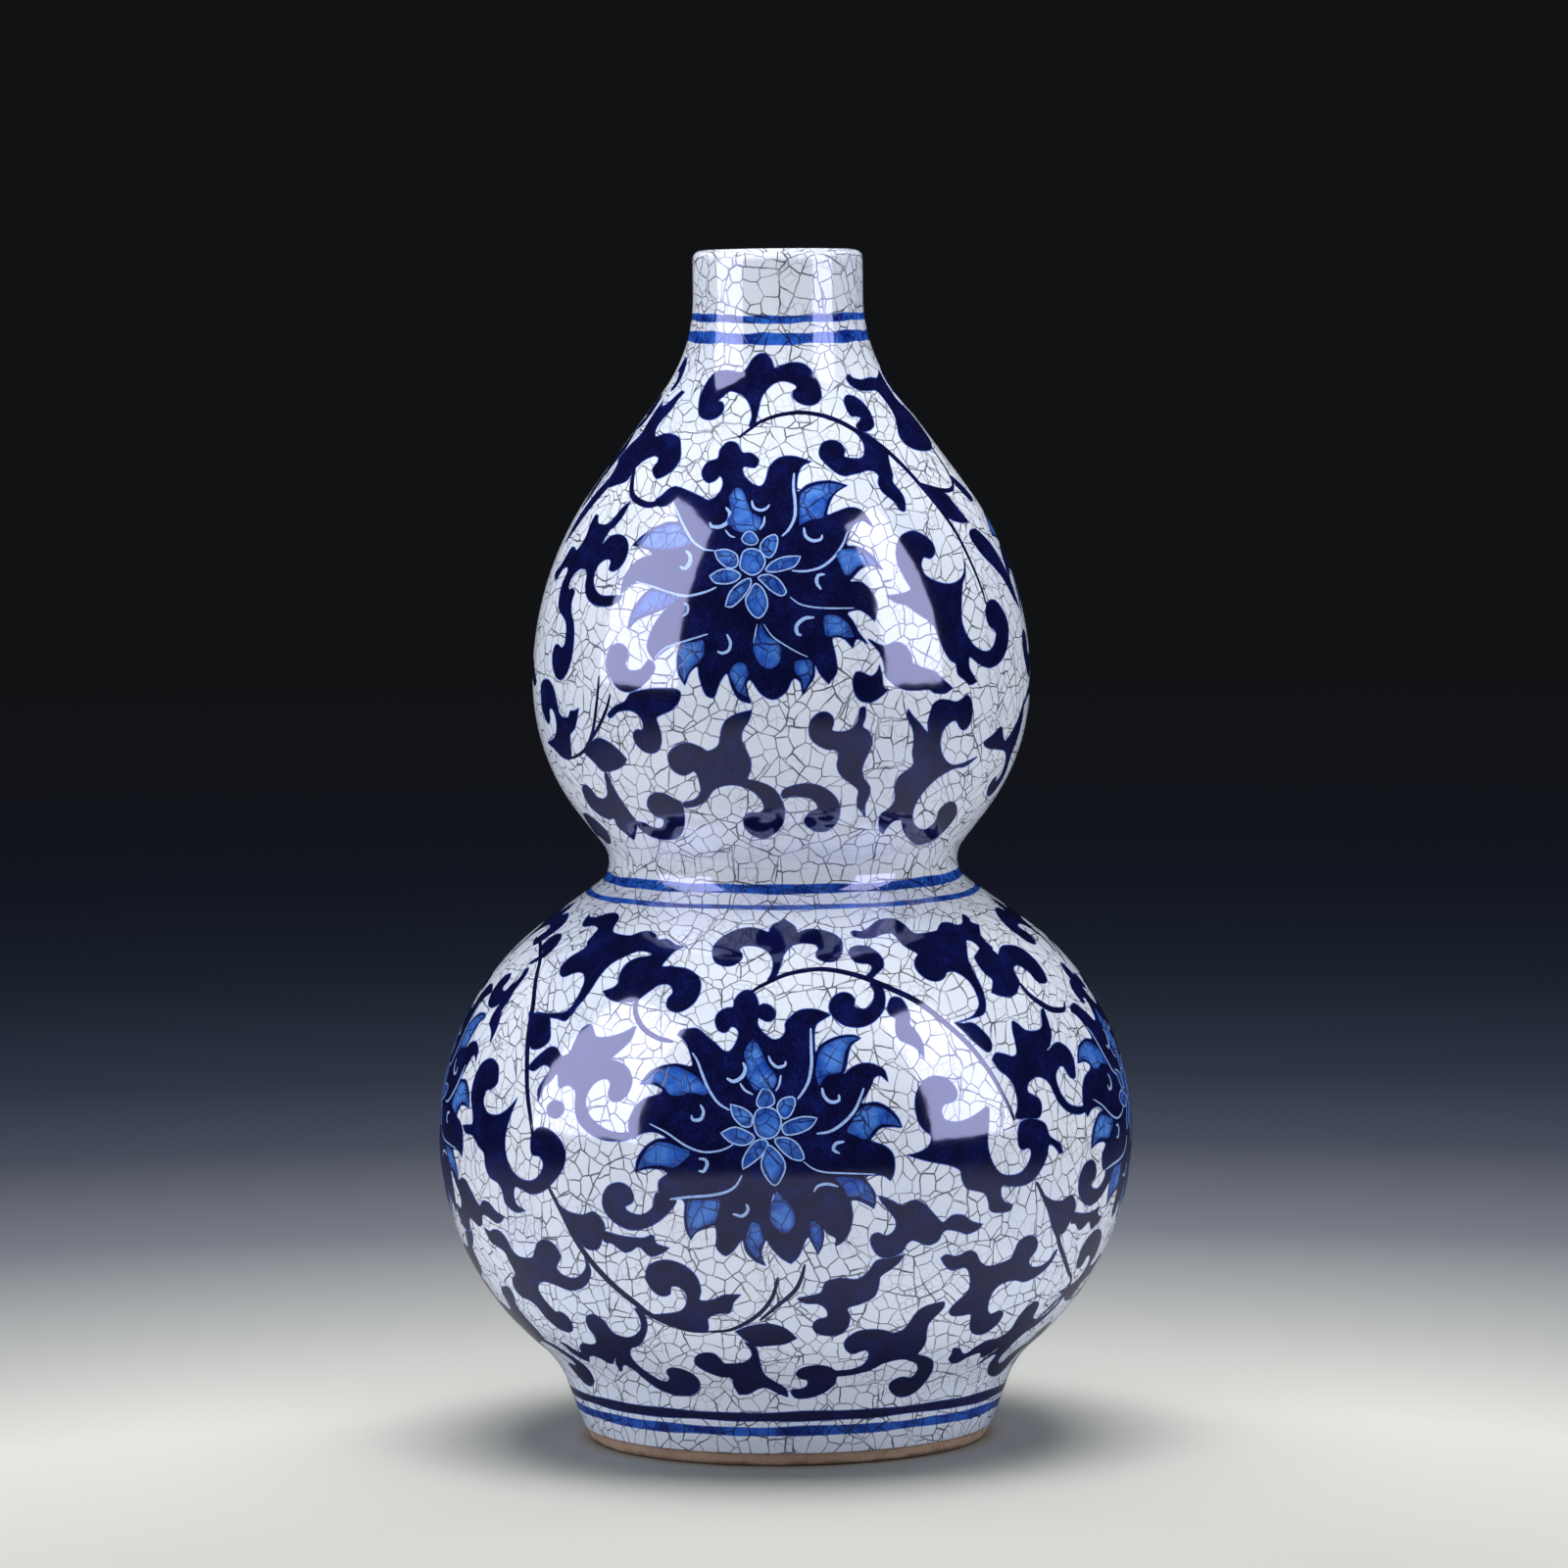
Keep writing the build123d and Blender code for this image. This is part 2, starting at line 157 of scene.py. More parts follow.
UPPER_PALE = """
0.77: 0.5,41 2.5,43 4.2,46.5 4.5,51 4.3,55 4.8,59 ;
0.68: 2.8,31.9 6,31.7 10,32.6 13.5,35 16.5,38.5 18.5,42 ;
0.42: 2.2,25.2 4.5,23.4 8,22.5 12,22.2 17.5,22.1 ;
0.34: -4,18.5 -2,15.5 1,13.2 4,11.3 6,10.3 ;
0.34: -5.5,18.5 -6,15.5 -6.3,13.8 ;
0.51: -17,16 -20,15 -23,14 -27.5,12.3 -30,9.8 ;
0.68: -38,28.6 -33,27.6 -28,26.2 -23,25.4 -18,26.6 -15.7,27.7 ;
0.68: -33,50 -30,46.8 -27,43.3 -23.5,39.5 -20,37.5 -17.5,37.2 ;
0.77: -8.3,51 -7.5,49 -5.5,48.2 -3.8,48.8 -3,49.8 ;
0.59: -4.3,46.5 -4.5,44.5 -5.5,42.8 ;
0.51: -15,42.8 -13.5,41.2 -12,40.7 ;
1.02: -15.8,49 -14.3,47.3 -14.5,45 -16.5,43.6 -19,43.7 -19.8,44.8 ;
0.85: 6.5,43.3 6.8,41 8.5,39.7 10.8,40 11.3,41.2 ;
0.85: 11,30.8 9.3,30.6 8.8,28.8 9.8,27 ;
0.94: 7.8,20 5.5,19.8 3.6,18 3.8,16 4.7,15.7 ;
0.77: -12.5,16 -11.6,14 -12,12 -13.5,11.3 -14.6,11.8 ;
1.1: -26,32.8 -24.5,32.4 -23.4,34 -23.8,36 -25.2,37 ;
0.68: -23.5,20.3 -22.4,21.3 -22.5,23 -23.7,23.6
"""
UPPER_RIGHT = """
39,86.3 41.5,87.7 44,86.6 50,86 58,86.5 65,86.2 70,87 76,88.3! 75.2,84.5 73.8,81 74.5,78.6 78,77
81.5,74.2 82.5,70.5 80.5,67 76,64.9 71,64 66,63.9 61,64.2 57,65 54.5,66.5 53.7,68.8 56,71.5 59,74.5
60,77 59.5,80 58.5,82 57,82.8 50,82.8 44,83.2 40.5,84.5 ;
50.2,54 54,53 58,52.3 60.5,50.5 62,47 64.5,42.5! 60.5,42.6 57,43.2 54.3,44.5 52.8,47 51.5,50.5 ;
33.8,40 36,41 38.5,41.4 41,40.5 43.5,38.5 44,36.3 42.8,34.5 41,33.8 39.5,34.3 38.2,33 37.8,31.5
38.3,29.7 41,28 45,27 49,27.6 52,29.5 54.3,33! 52.5,29 50.5,27 49.5,25 48.5,22.5 47.3,18 48,14.5 50,11.5
53,9.7 56,9.5 58.5,11 60,13.5 59.3,14.6 57.5,15.7 56.8,18 58,20.8 60.5,22 63.5,21.3 66,18.8 67.3,15.5
66,11.5 63,8 59.5,6 55.5,5.3 51.5,6.5 48.3,8.5 48,6 49,4.2 50.5,2.2! 48,1.6 46,3 44,4.5 43.6,7 42,8
40.3,10.5 39,14 37.8,17.3 34,20 31,22.3 28,23.3 26,25! 28.5,25 31.5,25.5 33.2,26.2 32,29 30.8,33.5
31.5,37 ;
36.5,-2.5 38.5,-1.5 41,-1.8 43.5,-2.3 45.5,-1.6 47,-0.8 48.5,-2.5 49,-5 48.8,-7.5 47.5,-9.3 46,-9.5
44.6,-8.3 43.8,-7.2 42.5,-7.1 41,-8 39.8,-9.5 39.5,-12 40.5,-15 42.5,-17.3 45,-18.6 48,-18.5 51,-17.8
54,-17! 50,-19.3 46,-19.6 43.5,-20.5 40.5,-22.3 38.3,-24.8 36.8,-28 36.8,-31.5 38.5,-34.8 41.5,-37
45,-37.8 47,-36.5 47,-34 46.2,-32 47.3,-30 49.5,-29.3 52,-30.3 54.5,-32.5 55.7,-35 55,-38.5 52.5,-41.5
49,-42.8 45,-42.8 41,-41 37,-38 35,-35.5 33.8,-33.8 31.5,-34 30.2,-36 29.8,-38.3! 28,-36.5 26.8,-33.5
26.7,-31.5 28.5,-30 29.6,-28 29.3,-25.8 28.7,-23.5 29,-21 30.5,-19.5 32.3,-18.2 32.6,-17 31.8,-14.5
31.8,-11.5 31.2,-8.5 29.5,-5 29.7,-3.2! 31,-5 33,-7 34.8,-9 35.5,-9.3 35.2,-7 35.8,-4.5 ;
61,38 62,40 66,40.5 69.5,38.6 73,35.6 76,31 78.5,25 80.3,18! 77,20.5 74,24 71,27.5 67,30.8 63.6,33.6 ;
55,-13.5 58,-12 62,-10 64,-12.5 66,-14 69.5,-11.5 73,-8 76.3,-3.5! 76.6,-9 75.8,-14 74,-18.5 75.6,-23
74.8,-27 71.8,-29.4 68.3,-29.2 66,-27.2 66.2,-24.6 68.2,-23.8 69.8,-25.4 71.3,-23.6 70.4,-19.6
67.4,-16.8 62,-15.8 57,-15 ;
71,56 74.5,55.2 78,52.5 81,49! 78.5,48 75.5,48 72.8,50.5 71,53.3
"""
UPPER_RIGHT_LINES = """
1.4: 50,54.5 55,53 60,52 65,52 69.5,53.5 72.5,57 74,62 74.3,66
"""
UPPER_LEFT = """
-54.5,82.8! -58,83 -60.5,81.5 -62.5,80 -66,78.5 -68.5,78.4 -71.8,80.4! -72.4,76 -71.6,72.5 -70.6,70
-72.4,68 -75,66.2 -78,62! -75,60.8 -73,59 -72.6,56.4 -74,53! -67,53.6 -62,54.7 -58,56 -57.5,59.5
-56,61.5 -53,63 -50.5,63.6 -47.8,63 -47.3,61.5 -48,60 -46.3,58.3 -43.5,57 -40.5,58 -38,60 -37.3,63
-39,66 -42,69 -47,70.2 -52,70.2 -56,69.3 -58.5,70 -60,72.5 -59,75 -57,77.5 -56.5,80.5 ;
-40,50.5 -38.5,52 -36.5,54.2 -34,54.9 -32.5,53.5 -33,51 -35,49.3 -38,49 ;
-50,50! -52.5,48 -54,45 -56,43.3 -59.5,43 -61.5,43.8 -63,45.3 -65,45.5 -65.3,43 -64.5,40 -65,37.5
-66.5,35.6 -69,36.3 -71.3,36 -73,33 -75,30.5 -77.5,29! -75,27 -73,28.5 -71,30.5 -68.5,31 -67.5,29.5
-68.5,26.5 -68,23 -66.5,20.3 -64,19 -61.5,17.5 -60.3,15 -60.3,11.8 -61.5,10.8 -63.5,11.5 -65.3,11
-66.2,8.5 -65.3,5.5 -63,3.2 -60.5,3 -58,5 -56.5,8.5 -56.3,13 -57.3,17 -59.5,20 -60.3,22.5 -60,25
-61.5,25.8 -63.3,25.5 -64,27 -63,29.5 -60.5,31 -58,31 -56.5,29.5 -56,27 -54.5,24.5 -52,22.8 -48.5,22
-44.5,22.3 -42,23.8 -41.3,25! -44.5,24.8 -48.5,24.7 -51.5,26.3 -53.2,29 -53,32 -51,33.8 -49,34 -48.2,33
-48.3,31.5 -46.5,31 -44.5,32 -43.2,34.5 -43.5,37.5 -45.5,39.8 -48.5,40.7 -51.5,40.3 -53,39.3 -54.3,38
-53.5,41.5 -51.5,43.5 -50.2,46.5 ;
-26.5,-27.3 -28,-26.5 -30.5,-25 -33,-24.8 -35.5,-26 -37.2,-28.5 -37,-30.5 -35.5,-32.2 -33.8,-32.7
-34.3,-34.5 -36.5,-36 -39.5,-35.5 -41,-34.5 -44,-34.3 -43.8,-37 -41.5,-39 -37.5,-39.8 -33,-39.3
-29.5,-37 -27.2,-33 -26.3,-29 ;
-47.5,-19.8 -46.8,-23.5 -45.8,-27.5 -44.5,-32 -43.8,-34.3 -45,-36 -47.5,-38.5 -50,-40.8! -52,-39
-54,-36.5 -53.2,-34 -56,-34.4 -60,-33.2 -62.5,-30.5 -62.2,-27 -60.5,-24.8 -58,-24.3 -56.3,-25.8
-55.8,-27.3 -53,-27.8 -50.5,-26.5 -49,-23.5 -48.6,-21 ;
-54.5,-14.7! -51.5,-12.8 -47.5,-10.9 -44,-11.8 -41,-14 -39.3,-16! -41.5,-18 -45,-19.3 -48.5,-19.6
-51.5,-17 ;
-73.3,0.8 -71,2.2 -67.5,2.3 -65,0.8 -63.2,-2.5 -62.3,-5.5 -60.5,-6.5 -58.3,-6.3 -57,-4.6 -55.3,-4.5
-53.3,-3.6! -54.5,-6.5 -56,-9 -58.5,-10.8 -59.3,-13.5 -60.3,-16.3 -62.5,-17.6 -66.5,-17 -70,-15.3
-74.5,-14! -71,-13.3 -68,-12.3 -65.5,-10.3 -64.7,-8 -65.3,-5.5 -67,-4.6 -68,-5.5 -68.2,-7.5 -70,-8.9
-72,-7.5 -73.6,-5 -73.8,-2 ;
-66,86 -67.5,90 -71.5,92 -75.5,91.5 -78.8,88.2! -75,88.5 -72,87.4 -70.4,85.4 -71,83.4 -69,82.8 -67,83.8
;
-62.5,-39! -65,-35.6 -69,-33.8 -73,-34.4 -76.5,-37 -79.8,-41.6! -75.5,-41.8 -71.5,-43.6 -67.5,-43.3
-64.5,-41.5 ;
-69.5,58 -73,55.4 -76.8,49.8 -79.3,43.2 -80.2,36.5! -75.8,40.5 -72.8,45.5 -70,50 -68,54
"""
UPPER_LEFT_LINES = """
2.1: -57.5,59.5 -55,56 -51,52 -46,50 -41,49.3 -36.5,50.8 ;
1.1: -62,-17.3 -58,-16.3 -54,-14.6 -51,-12 -48.5,-8 -47,-3 -46.3,1 -46,4.8 ;
1.1: -52.5,-13 -49.5,-10.8 -46,-7 -43.5,-3 -42.3,0.5
"""
LOWER_FLOWER = """
-19.4,34.8! -18.9,36.1 -16.2,36.8 -15.1,36.1 -14,34.8 -12.1,32.8 -10.8,31.1 -9.7,30.8 -8.9,32.2
-8.2,35.3 -8.7,36.9 -9.7,37.3 -10.2,36.1 -11,35.7 -12.1,36.5 -12.8,39 -12.4,41.1 -11,42.5 -9.7,42.8
-9.6,44.8 -8.6,46.9 -7.2,47.8 -5.9,46.9 -5.1,44.8 -4.8,43.2 -4,43.8 -2.6,43.2 -1.7,41.5 -1.8,39.8
-2.6,38.8 -3.7,39 -4.8,39.8 -4.9,38.2 -4,36.1 -2.1,34 -0.7,34.4 0.1,36.1 0.1,38.2 0.9,39.8 2.6,41.7
4.7,42.2 6.6,41.7 8.6,40.3! 6.9,39 5.8,37.8 5.3,35.5 5.3,30.5 6.1,32.2 8,33.8 10.2,34.7 12.4,34.7
13.5,33.8! 11.8,32.2 11,29.8 10.5,26.9 9.9,24.8 11.5,26.5 13.2,27.3 14.7,27.2 15.9,26.5 17,25.3
17.4,22.3! 16.2,24 15.1,23.6 14.3,21.5 13.2,19 12.6,17.3 15.1,17.5 17.3,15.7 18.6,13.2 19.1,11.1!
17.3,11.3 15.4,11.1 14.3,9.4 13.7,8.2 15.9,6.9 17.3,4.8 17.6,1.9 17.3,-0.6 16.8,-1.8! 15.9,-0.6
14.3,-0.2 12.6,-0.6 13.5,-2.7 14.4,-5.2 14.2,-8.5! 12.9,-7.3 11.3,-6.2 10.4,-6.4 10.7,-10.2 10.2,-14.3
9.1,-16.8 8,-17.8! 8,-15.6 6.9,-14.8 6,-13.2 6,-15.5 5.2,-20! 4.5,-17.7 3.6,-15.3 3.1,-16 2,-20.2
0.7,-22.3! -1,-20.6 -2.6,-17.7 -3.4,-16 -4.2,-19.8 -3.5,-22.8! -5.3,-21.4 -6.7,-18.9 -7.2,-16 -8.6,-18.5
-10,-20.2 -11,-19.3 -11.6,-17.7 -11.4,-15.2 -11.6,-12.4 -13.2,-13.1 -14.9,-14.3 -15.7,-16.2! -16.4,-13.9
-16.6,-10.2 -16.4,-7 -17,-5.8 -18.9,-6 -20.3,-5.5 -20.8,-3.5 -20.6,-1.4 -19.2,0.3 -20.3,1.3 -22.7,1.3
-24.8,0.3! -24.4,3.6 -23,6.7 -21.1,8.6 -19.5,9 -21.5,10.3 -23.8,9.8 -25.4,8.3! -26.2,11.5 -25.5,15.5
-23.8,18.2 -21.3,19.6 -20.7,20.7 -22.3,21.9 -24.9,21.9! -23.2,25.3 -21,26.8 -18.5,27.3 -16,26.9
-16.5,29.8 -17.3,32.2 -18.4,34 ;
-1.8,51.5 -1,54.3 -0.4,56.8 -0.2,58.4 0.7,60.5 2,62.2 4.2,63 6.1,62.8 7.5,62.2 7.9,60.9 7.2,59.3
7.3,57.6 8.6,56.5 10.2,56.2 11.5,56.8 12.9,58.8 13.7,61.8 13.8,63.8 12.6,65.9 10.5,67.3 7.7,68.2 5.6,68
3.4,67 3.1,68.7 2,70.3 0.7,71.5 0,72.3! -0.7,71.3 -2.3,70.3 -3.4,68.8 -3.8,67.2 -5.3,68 -7.5,68.8
-9.7,68.8 -12.4,67.8 -14.6,65.9 -15.9,63.8 -16.5,61.3 -16.1,58.8 -15.1,56.5 -13.5,55.3 -11.6,55.1
-10,56.2 -9.2,58 -9.6,59.7 -10.2,60.7 -9.7,61.8 -8,62.2 -5.9,61.8 -4,60.5 -2.9,58.7 -2.4,56.8 -2.4,54.3
-2.9,52 -3.4,50.7 ;
14.8,59.3 15.6,60.9 17.5,61.6 19.7,60.9 21.3,58.8 21.9,56.3 21.3,53.8 19.7,52.2 18.1,50.7 17,51.3
18.4,53 18.9,54.3 18.4,55.1 17,55.3 15.6,55.9 14.9,57.3 ;
18.6,49.5 19.7,47.5 19.7,44.8 18.9,41.5 17.3,39 15.4,37.3 13.2,36.7 11,37.3 9.4,39 8.4,41.5 8.7,44
9.9,45.9 11.5,46.7 12.9,46.1 13.6,44.4 13.2,42.8 14,41.9 15.4,41.8 16.7,43.2 17.6,45.3 17.8,47.3
17.3,48.8
"""
LOWER_SPRIGS = """
-21.2,-4.6 -21.8,-8 -23.8,-10.2 -26,-9.8 -26.8,-8.5 -25.3,-7 -25.6,-4 -27.3,-2.5 -29.5,-3.3 -30.8,-6
-30.8,-9.5 -29,-12.6 -26,-14.3 -22.5,-13 -19.5,-9.8 -17.8,-6.5 -18.5,-5 ;
-31.5,-15.2 -28,-16 -24,-16.2 -22.3,-15.3 -21.8,-17.5 -19.6,-18.5! -21,-20 -23.2,-21 -25,-18.6
-26.5,-19.8 -28,-20.3 -30,-18.2 -31.5,-17.8 ;
-40.2,-9.3 -38,-10.8 -35,-11.3 -32.8,-10.3 -31.2,-12.5 -31,-14.8 -31.8,-17.3 -33,-20 -35.2,-20.2
-36.8,-18 -38.5,-14 ;
15,-5.4 17.1,-6.7 18.9,-8.1 20.4,-7 22.2,-7.5 23.7,-9.5 25.1,-11.7 26.3,-13.1 27.8,-11.5 29.9,-11.7
31.7,-13.5 33.9,-14.5! 32.9,-15.8 31.1,-16.7 29.3,-15.8 27.2,-15.1 26.3,-15.8 25.7,-17.8 24,-18.8
22.2,-17.8 21,-17.2 20.1,-18.1 19.5,-19.9 18.3,-21.1 16.5,-21.5 15,-20.4 13.9,-17.6 13.9,-15.4 15,-14.7
16.2,-15.6 17.4,-14.9 18,-13.1 17.7,-11.3 16.5,-9 15.3,-6.7 ;
1.8,-59.4 2.8,-56.9 5.3,-55.7 8.3,-56.1 10.5,-58.2 13.2,-59.4 11.3,-60.7 11,-64 9.4,-66.5 6.6,-68.2
3.9,-68.8 1.8,-68.6 0.9,-67.3 0.9,-65.7 2.8,-65.7 4.5,-64.4 4.4,-62.3 2.8,-61.5 ;
19.8,-20.9! 17,-21.6 15,-22.2 13.8,-25 12,-27 9,-26.6 6.6,-27.6 5.8,-30.6 3.5,-31.6 1.8,-32.2 3.2,-33.7
5.6,-34 7,-35.8 7.2,-38 5.4,-38.9 4.7,-41 5.6,-43.4 7.8,-44.4 10,-43.9 11.3,-41.5 11.4,-38 10.8,-35.5
13,-34.4 15.3,-32.5 15.9,-29.5 16,-26.5 17.6,-24.8 19,-23 ;
-9.8,-42.6! -7,-40.8 -3.5,-40 -0.5,-41.5 1.8,-45! -0.5,-47 -3.5,-47.6 -6.5,-47.8 -8.2,-45.5 ;
-8.3,-46.5 -6.3,-48 -5.9,-52 -5.7,-56 -5,-60 -3,-62.8 -0.5,-65.5 0,-68.3! -2.5,-67 -5,-65.2 -7,-65.5
-9.5,-67.3 -12,-67.6! -12.8,-65 -13,-61.5 -15.5,-61 -18.5,-58.5 -20,-55.5 -19.2,-52.5 -17.2,-50.8
-15,-51 -14,-53.3 -13.5,-54.8 -11,-54.8 -8.7,-53.8 -7.3,-51.5 -7.4,-49 ;
-24.7,-26.5 -23.5,-23.3 -20.5,-21.8 -17.5,-23 -15.5,-26 -15,-30 -15.5,-32.8 -14,-33 -12.5,-32.3
-11,-31.2 -8,-31! -9.5,-33.5 -10.3,-36.5 -12.5,-37 -14.5,-38.5 -14.8,-41.5 -15.5,-43.2 -19,-42.5
-22.5,-40 -26,-38.3! -22.5,-37.6 -19.5,-36.5 -18,-34 -17.8,-31.3 -18.8,-29.3 -20.3,-29.3 -20.8,-31.5
-22.5,-32.2 -24,-30.5 ;
21,44.6 22.8,44.2 23.4,42.4 23.7,39.6 23.2,36.9 24.3,34.2 24.8,31.5 24.5,27.8! 23.4,30.5 21.9,31.9
20.7,32.8 20.2,34.6 20.4,36.9 20.7,38.7 19.8,39.6 19.5,41.5
"""
LOWER_ARCH = """
1.6: -6.4,47.2 -4.8,48.8 -2.6,50.5 0.1,52.3 3.4,53.4 7.2,54 10.5,53.5 13.7,52.3 16.4,50.9 18.6,49.3
21.3,47.2 25.7,43.3 29.6,37.8 33.8,30.5 36.7,23.3 39.1,15.1 40.3,10.5
"""
LOWER_SPRIG_LINES = """
1.2: -15,-43 -11,-42.3 -7.5,-39.7 -4.5,-36 -2.5,-31.5 -1.5,-26 ;
1.2: -5,-39 -1.5,-34 0,-32 1.5,-29.5 2.5,-26 3,-22.5
"""
LOWER_WASH = """
-5.7,34! -6.7,31.9 -7,29.8 -6.4,26.9 -6.5,24.8 -5.6,22.3 -4.8,20.9 -3.7,21.5 -2.3,21.3 -1.4,23.2
-1.8,25.3 -2.9,27.3 -3.7,29.8 -4.5,32.3 ;
5.6,29 6.4,31.5 8,33 10.2,34 12.1,34.2 13.3,33.8! 11.6,32.8 10.5,30.3 9.9,27.3 9.4,25.3 8.3,24.8
6.9,24.4 5.6,21.9! 5.2,24.8 ;
11.5,14.8 12.9,16.5 14.8,16.7 16.7,15.3 18.1,13.2 18.8,11.3! 17.3,11.9 15.4,11.9 14,10.3 12.9,8.6
11.5,9.4 9.9,10.7 10.7,12.8 ;
8,-0.6 10.2,-0.6 12.1,-1.4 13.5,-3.5 14.3,-7.3! 12.9,-6.4 11.5,-5.3 9.9,-5.2 9.4,-3.5 ;
3.9,-11.4 5,-11.8 5.8,-14.3 5.6,-17.7 5.2,-19.2! 4.7,-17.7 4,-15.2 ;
-5.6,-11.4 -4.5,-11.8 -4,-13.9 -3.8,-16.4 -4.6,-18.5 -4,-21.6! -5.3,-20.2 -6.3,-17.7 -6.6,-15.6
-6.1,-13.1 ;
-15.7,-6.4 -13.2,-6 -10.8,-5.8 -10.8,-8.1 -11.6,-11.4 -13.2,-12.3 -14.6,-13.5 -15.7,-15.4! -16.1,-12.7
-16.1,-9.3 ;
-24.3,1! -23.7,3.6 -22.6,6.1 -21.1,7.8 -19.2,7.8 -17.3,6.9 -15.4,5.7 -16.5,3.6 -18.1,1.9 -20.3,2.2
-22.7,1.9 ;
-24.4,22.2! -23,24.8 -21.1,26.1 -18.9,26.7 -16.8,25.7 -15.1,24.4 -14,22.8 -12.7,20.7 -13.5,19.7
-15.7,20.3 -17.8,19.4 -19.5,19.7 -20.3,21.1 -22.2,22.5 ;
-1.5,-3.5! -2.6,-7.7 -2.6,-10.6 -1.5,-13.1 -0.2,-14.2 1.2,-12.3 1.3,-9.8 0.7,-7.3 -0.4,-5.6
"""
LOWER_ROSETTE = """
-5,13.5 -4.6,15.8 -3.2,16.7 -1.5,15.8 -0.8,13.3 -1.5,10.3 -3,9.4 -4.5,10.5 ;
-4.6,18.2 -3.9,20.8 -3.2,21.4 -2.2,20 -1.9,18 -3,17 -4.2,17 ;
-1.2,17 -0.5,18.7 1.2,19.2 1.5,17.8 0.8,15.2 -0.2,14.2 -0.9,15.3 ;
-0.4,12.3 1,13.6 3,14.3 5,14! 4,12 2,10.6 0,10.4 ;
-1.6,9 0,9.3 1.8,7.8 2.8,4.4 1.3,4.3 -0.3,6 -1.3,7.8 ;
-2.7,7.5 -1,5.3 -0.2,2.7 -0.7,0 -1.8,-2 -3.2,0.3 -3.8,3 -3.4,5.5 ;
-3.7,8.9 -2.9,8 -3.7,5.7 -5.3,3.5 -6.8,2! -6.7,4.2 -5.8,6.7 -4.7,8.5 ;
-5.1,9.6 -6.5,11 -8.3,11.8 -10.3,10.5! -9,8.7 -7.3,7.8 -5.8,8.2 ;
-5.5,14.7 -6.7,16.3 -8.9,17.4! -8.4,14.7 -7,12.5 -5.7,12.4
"""
LOWER_PALE = """
0.77: 4.7,36.9 4.6,32.3 4.5,27.3 3.9,23.2 2.8,20.3 2,18.8 ;
0.77: 5,10.3 7.2,10.8 9.4,12.8 11.3,15.7 12.6,19.4 13.1,21.1 ;
0.42: 2.8,3.6 4.2,1.9 6.1,0.9 9.4,0.5 14.3,0 ;
0.68: -7,0.3 -8,-2.3 -9.7,-3.9 -12.4,-4.8 -15.7,-5.3 -18.9,-6 ;
0.51: -22.5,12.3 -19.5,10.3 -16.2,7.3 -13.5,5.9 -11,6.1 -8.9,7.3 -7.8,9 ;
0.68: -16.2,30.3 -15.1,28.2 -14,24.8 -12.7,21.1 -11,17.8 -9.1,16.1 ;
0.34: -1.9,-4.3 -2.3,-6.4 ;
0.59: -7.5,22.8 -6.7,21.1 -5.3,20 ;
0.59: -0.7,24.8 -1,22.3 -1.6,20.8 ;
0.77: -2.8,29.7 -2.3,28 -1.2,26.8 0,27.3 0.1,28.3 ;
0.94: -7.2,28 -6.7,26.5 -7.2,24.4 -8.6,23.2 -9.8,24 ;
0.85: 6.1,21.5 6.4,19.4 7.5,17.9 8.8,18.3 8.8,19.7 ;
0.85: 9.4,8.2 8,7.8 7.6,6.3 8.6,5.4 ;
0.68: 8.3,-2.7 6.6,-2 5,-2.5 4.4,-3.9 ;
0.85: -6.4,-6.8 -6.1,-8.1 -7,-9.8 -8.6,-9.3 ;
0.85: -14,17.3 -13.4,15.7 -13.8,13.8 -15.1,13.6 -15.4,14.7 ;
0.85: -14,4.2 -12.9,4 -12.6,2.8 -13.2,1.1 -14,1.3
"""
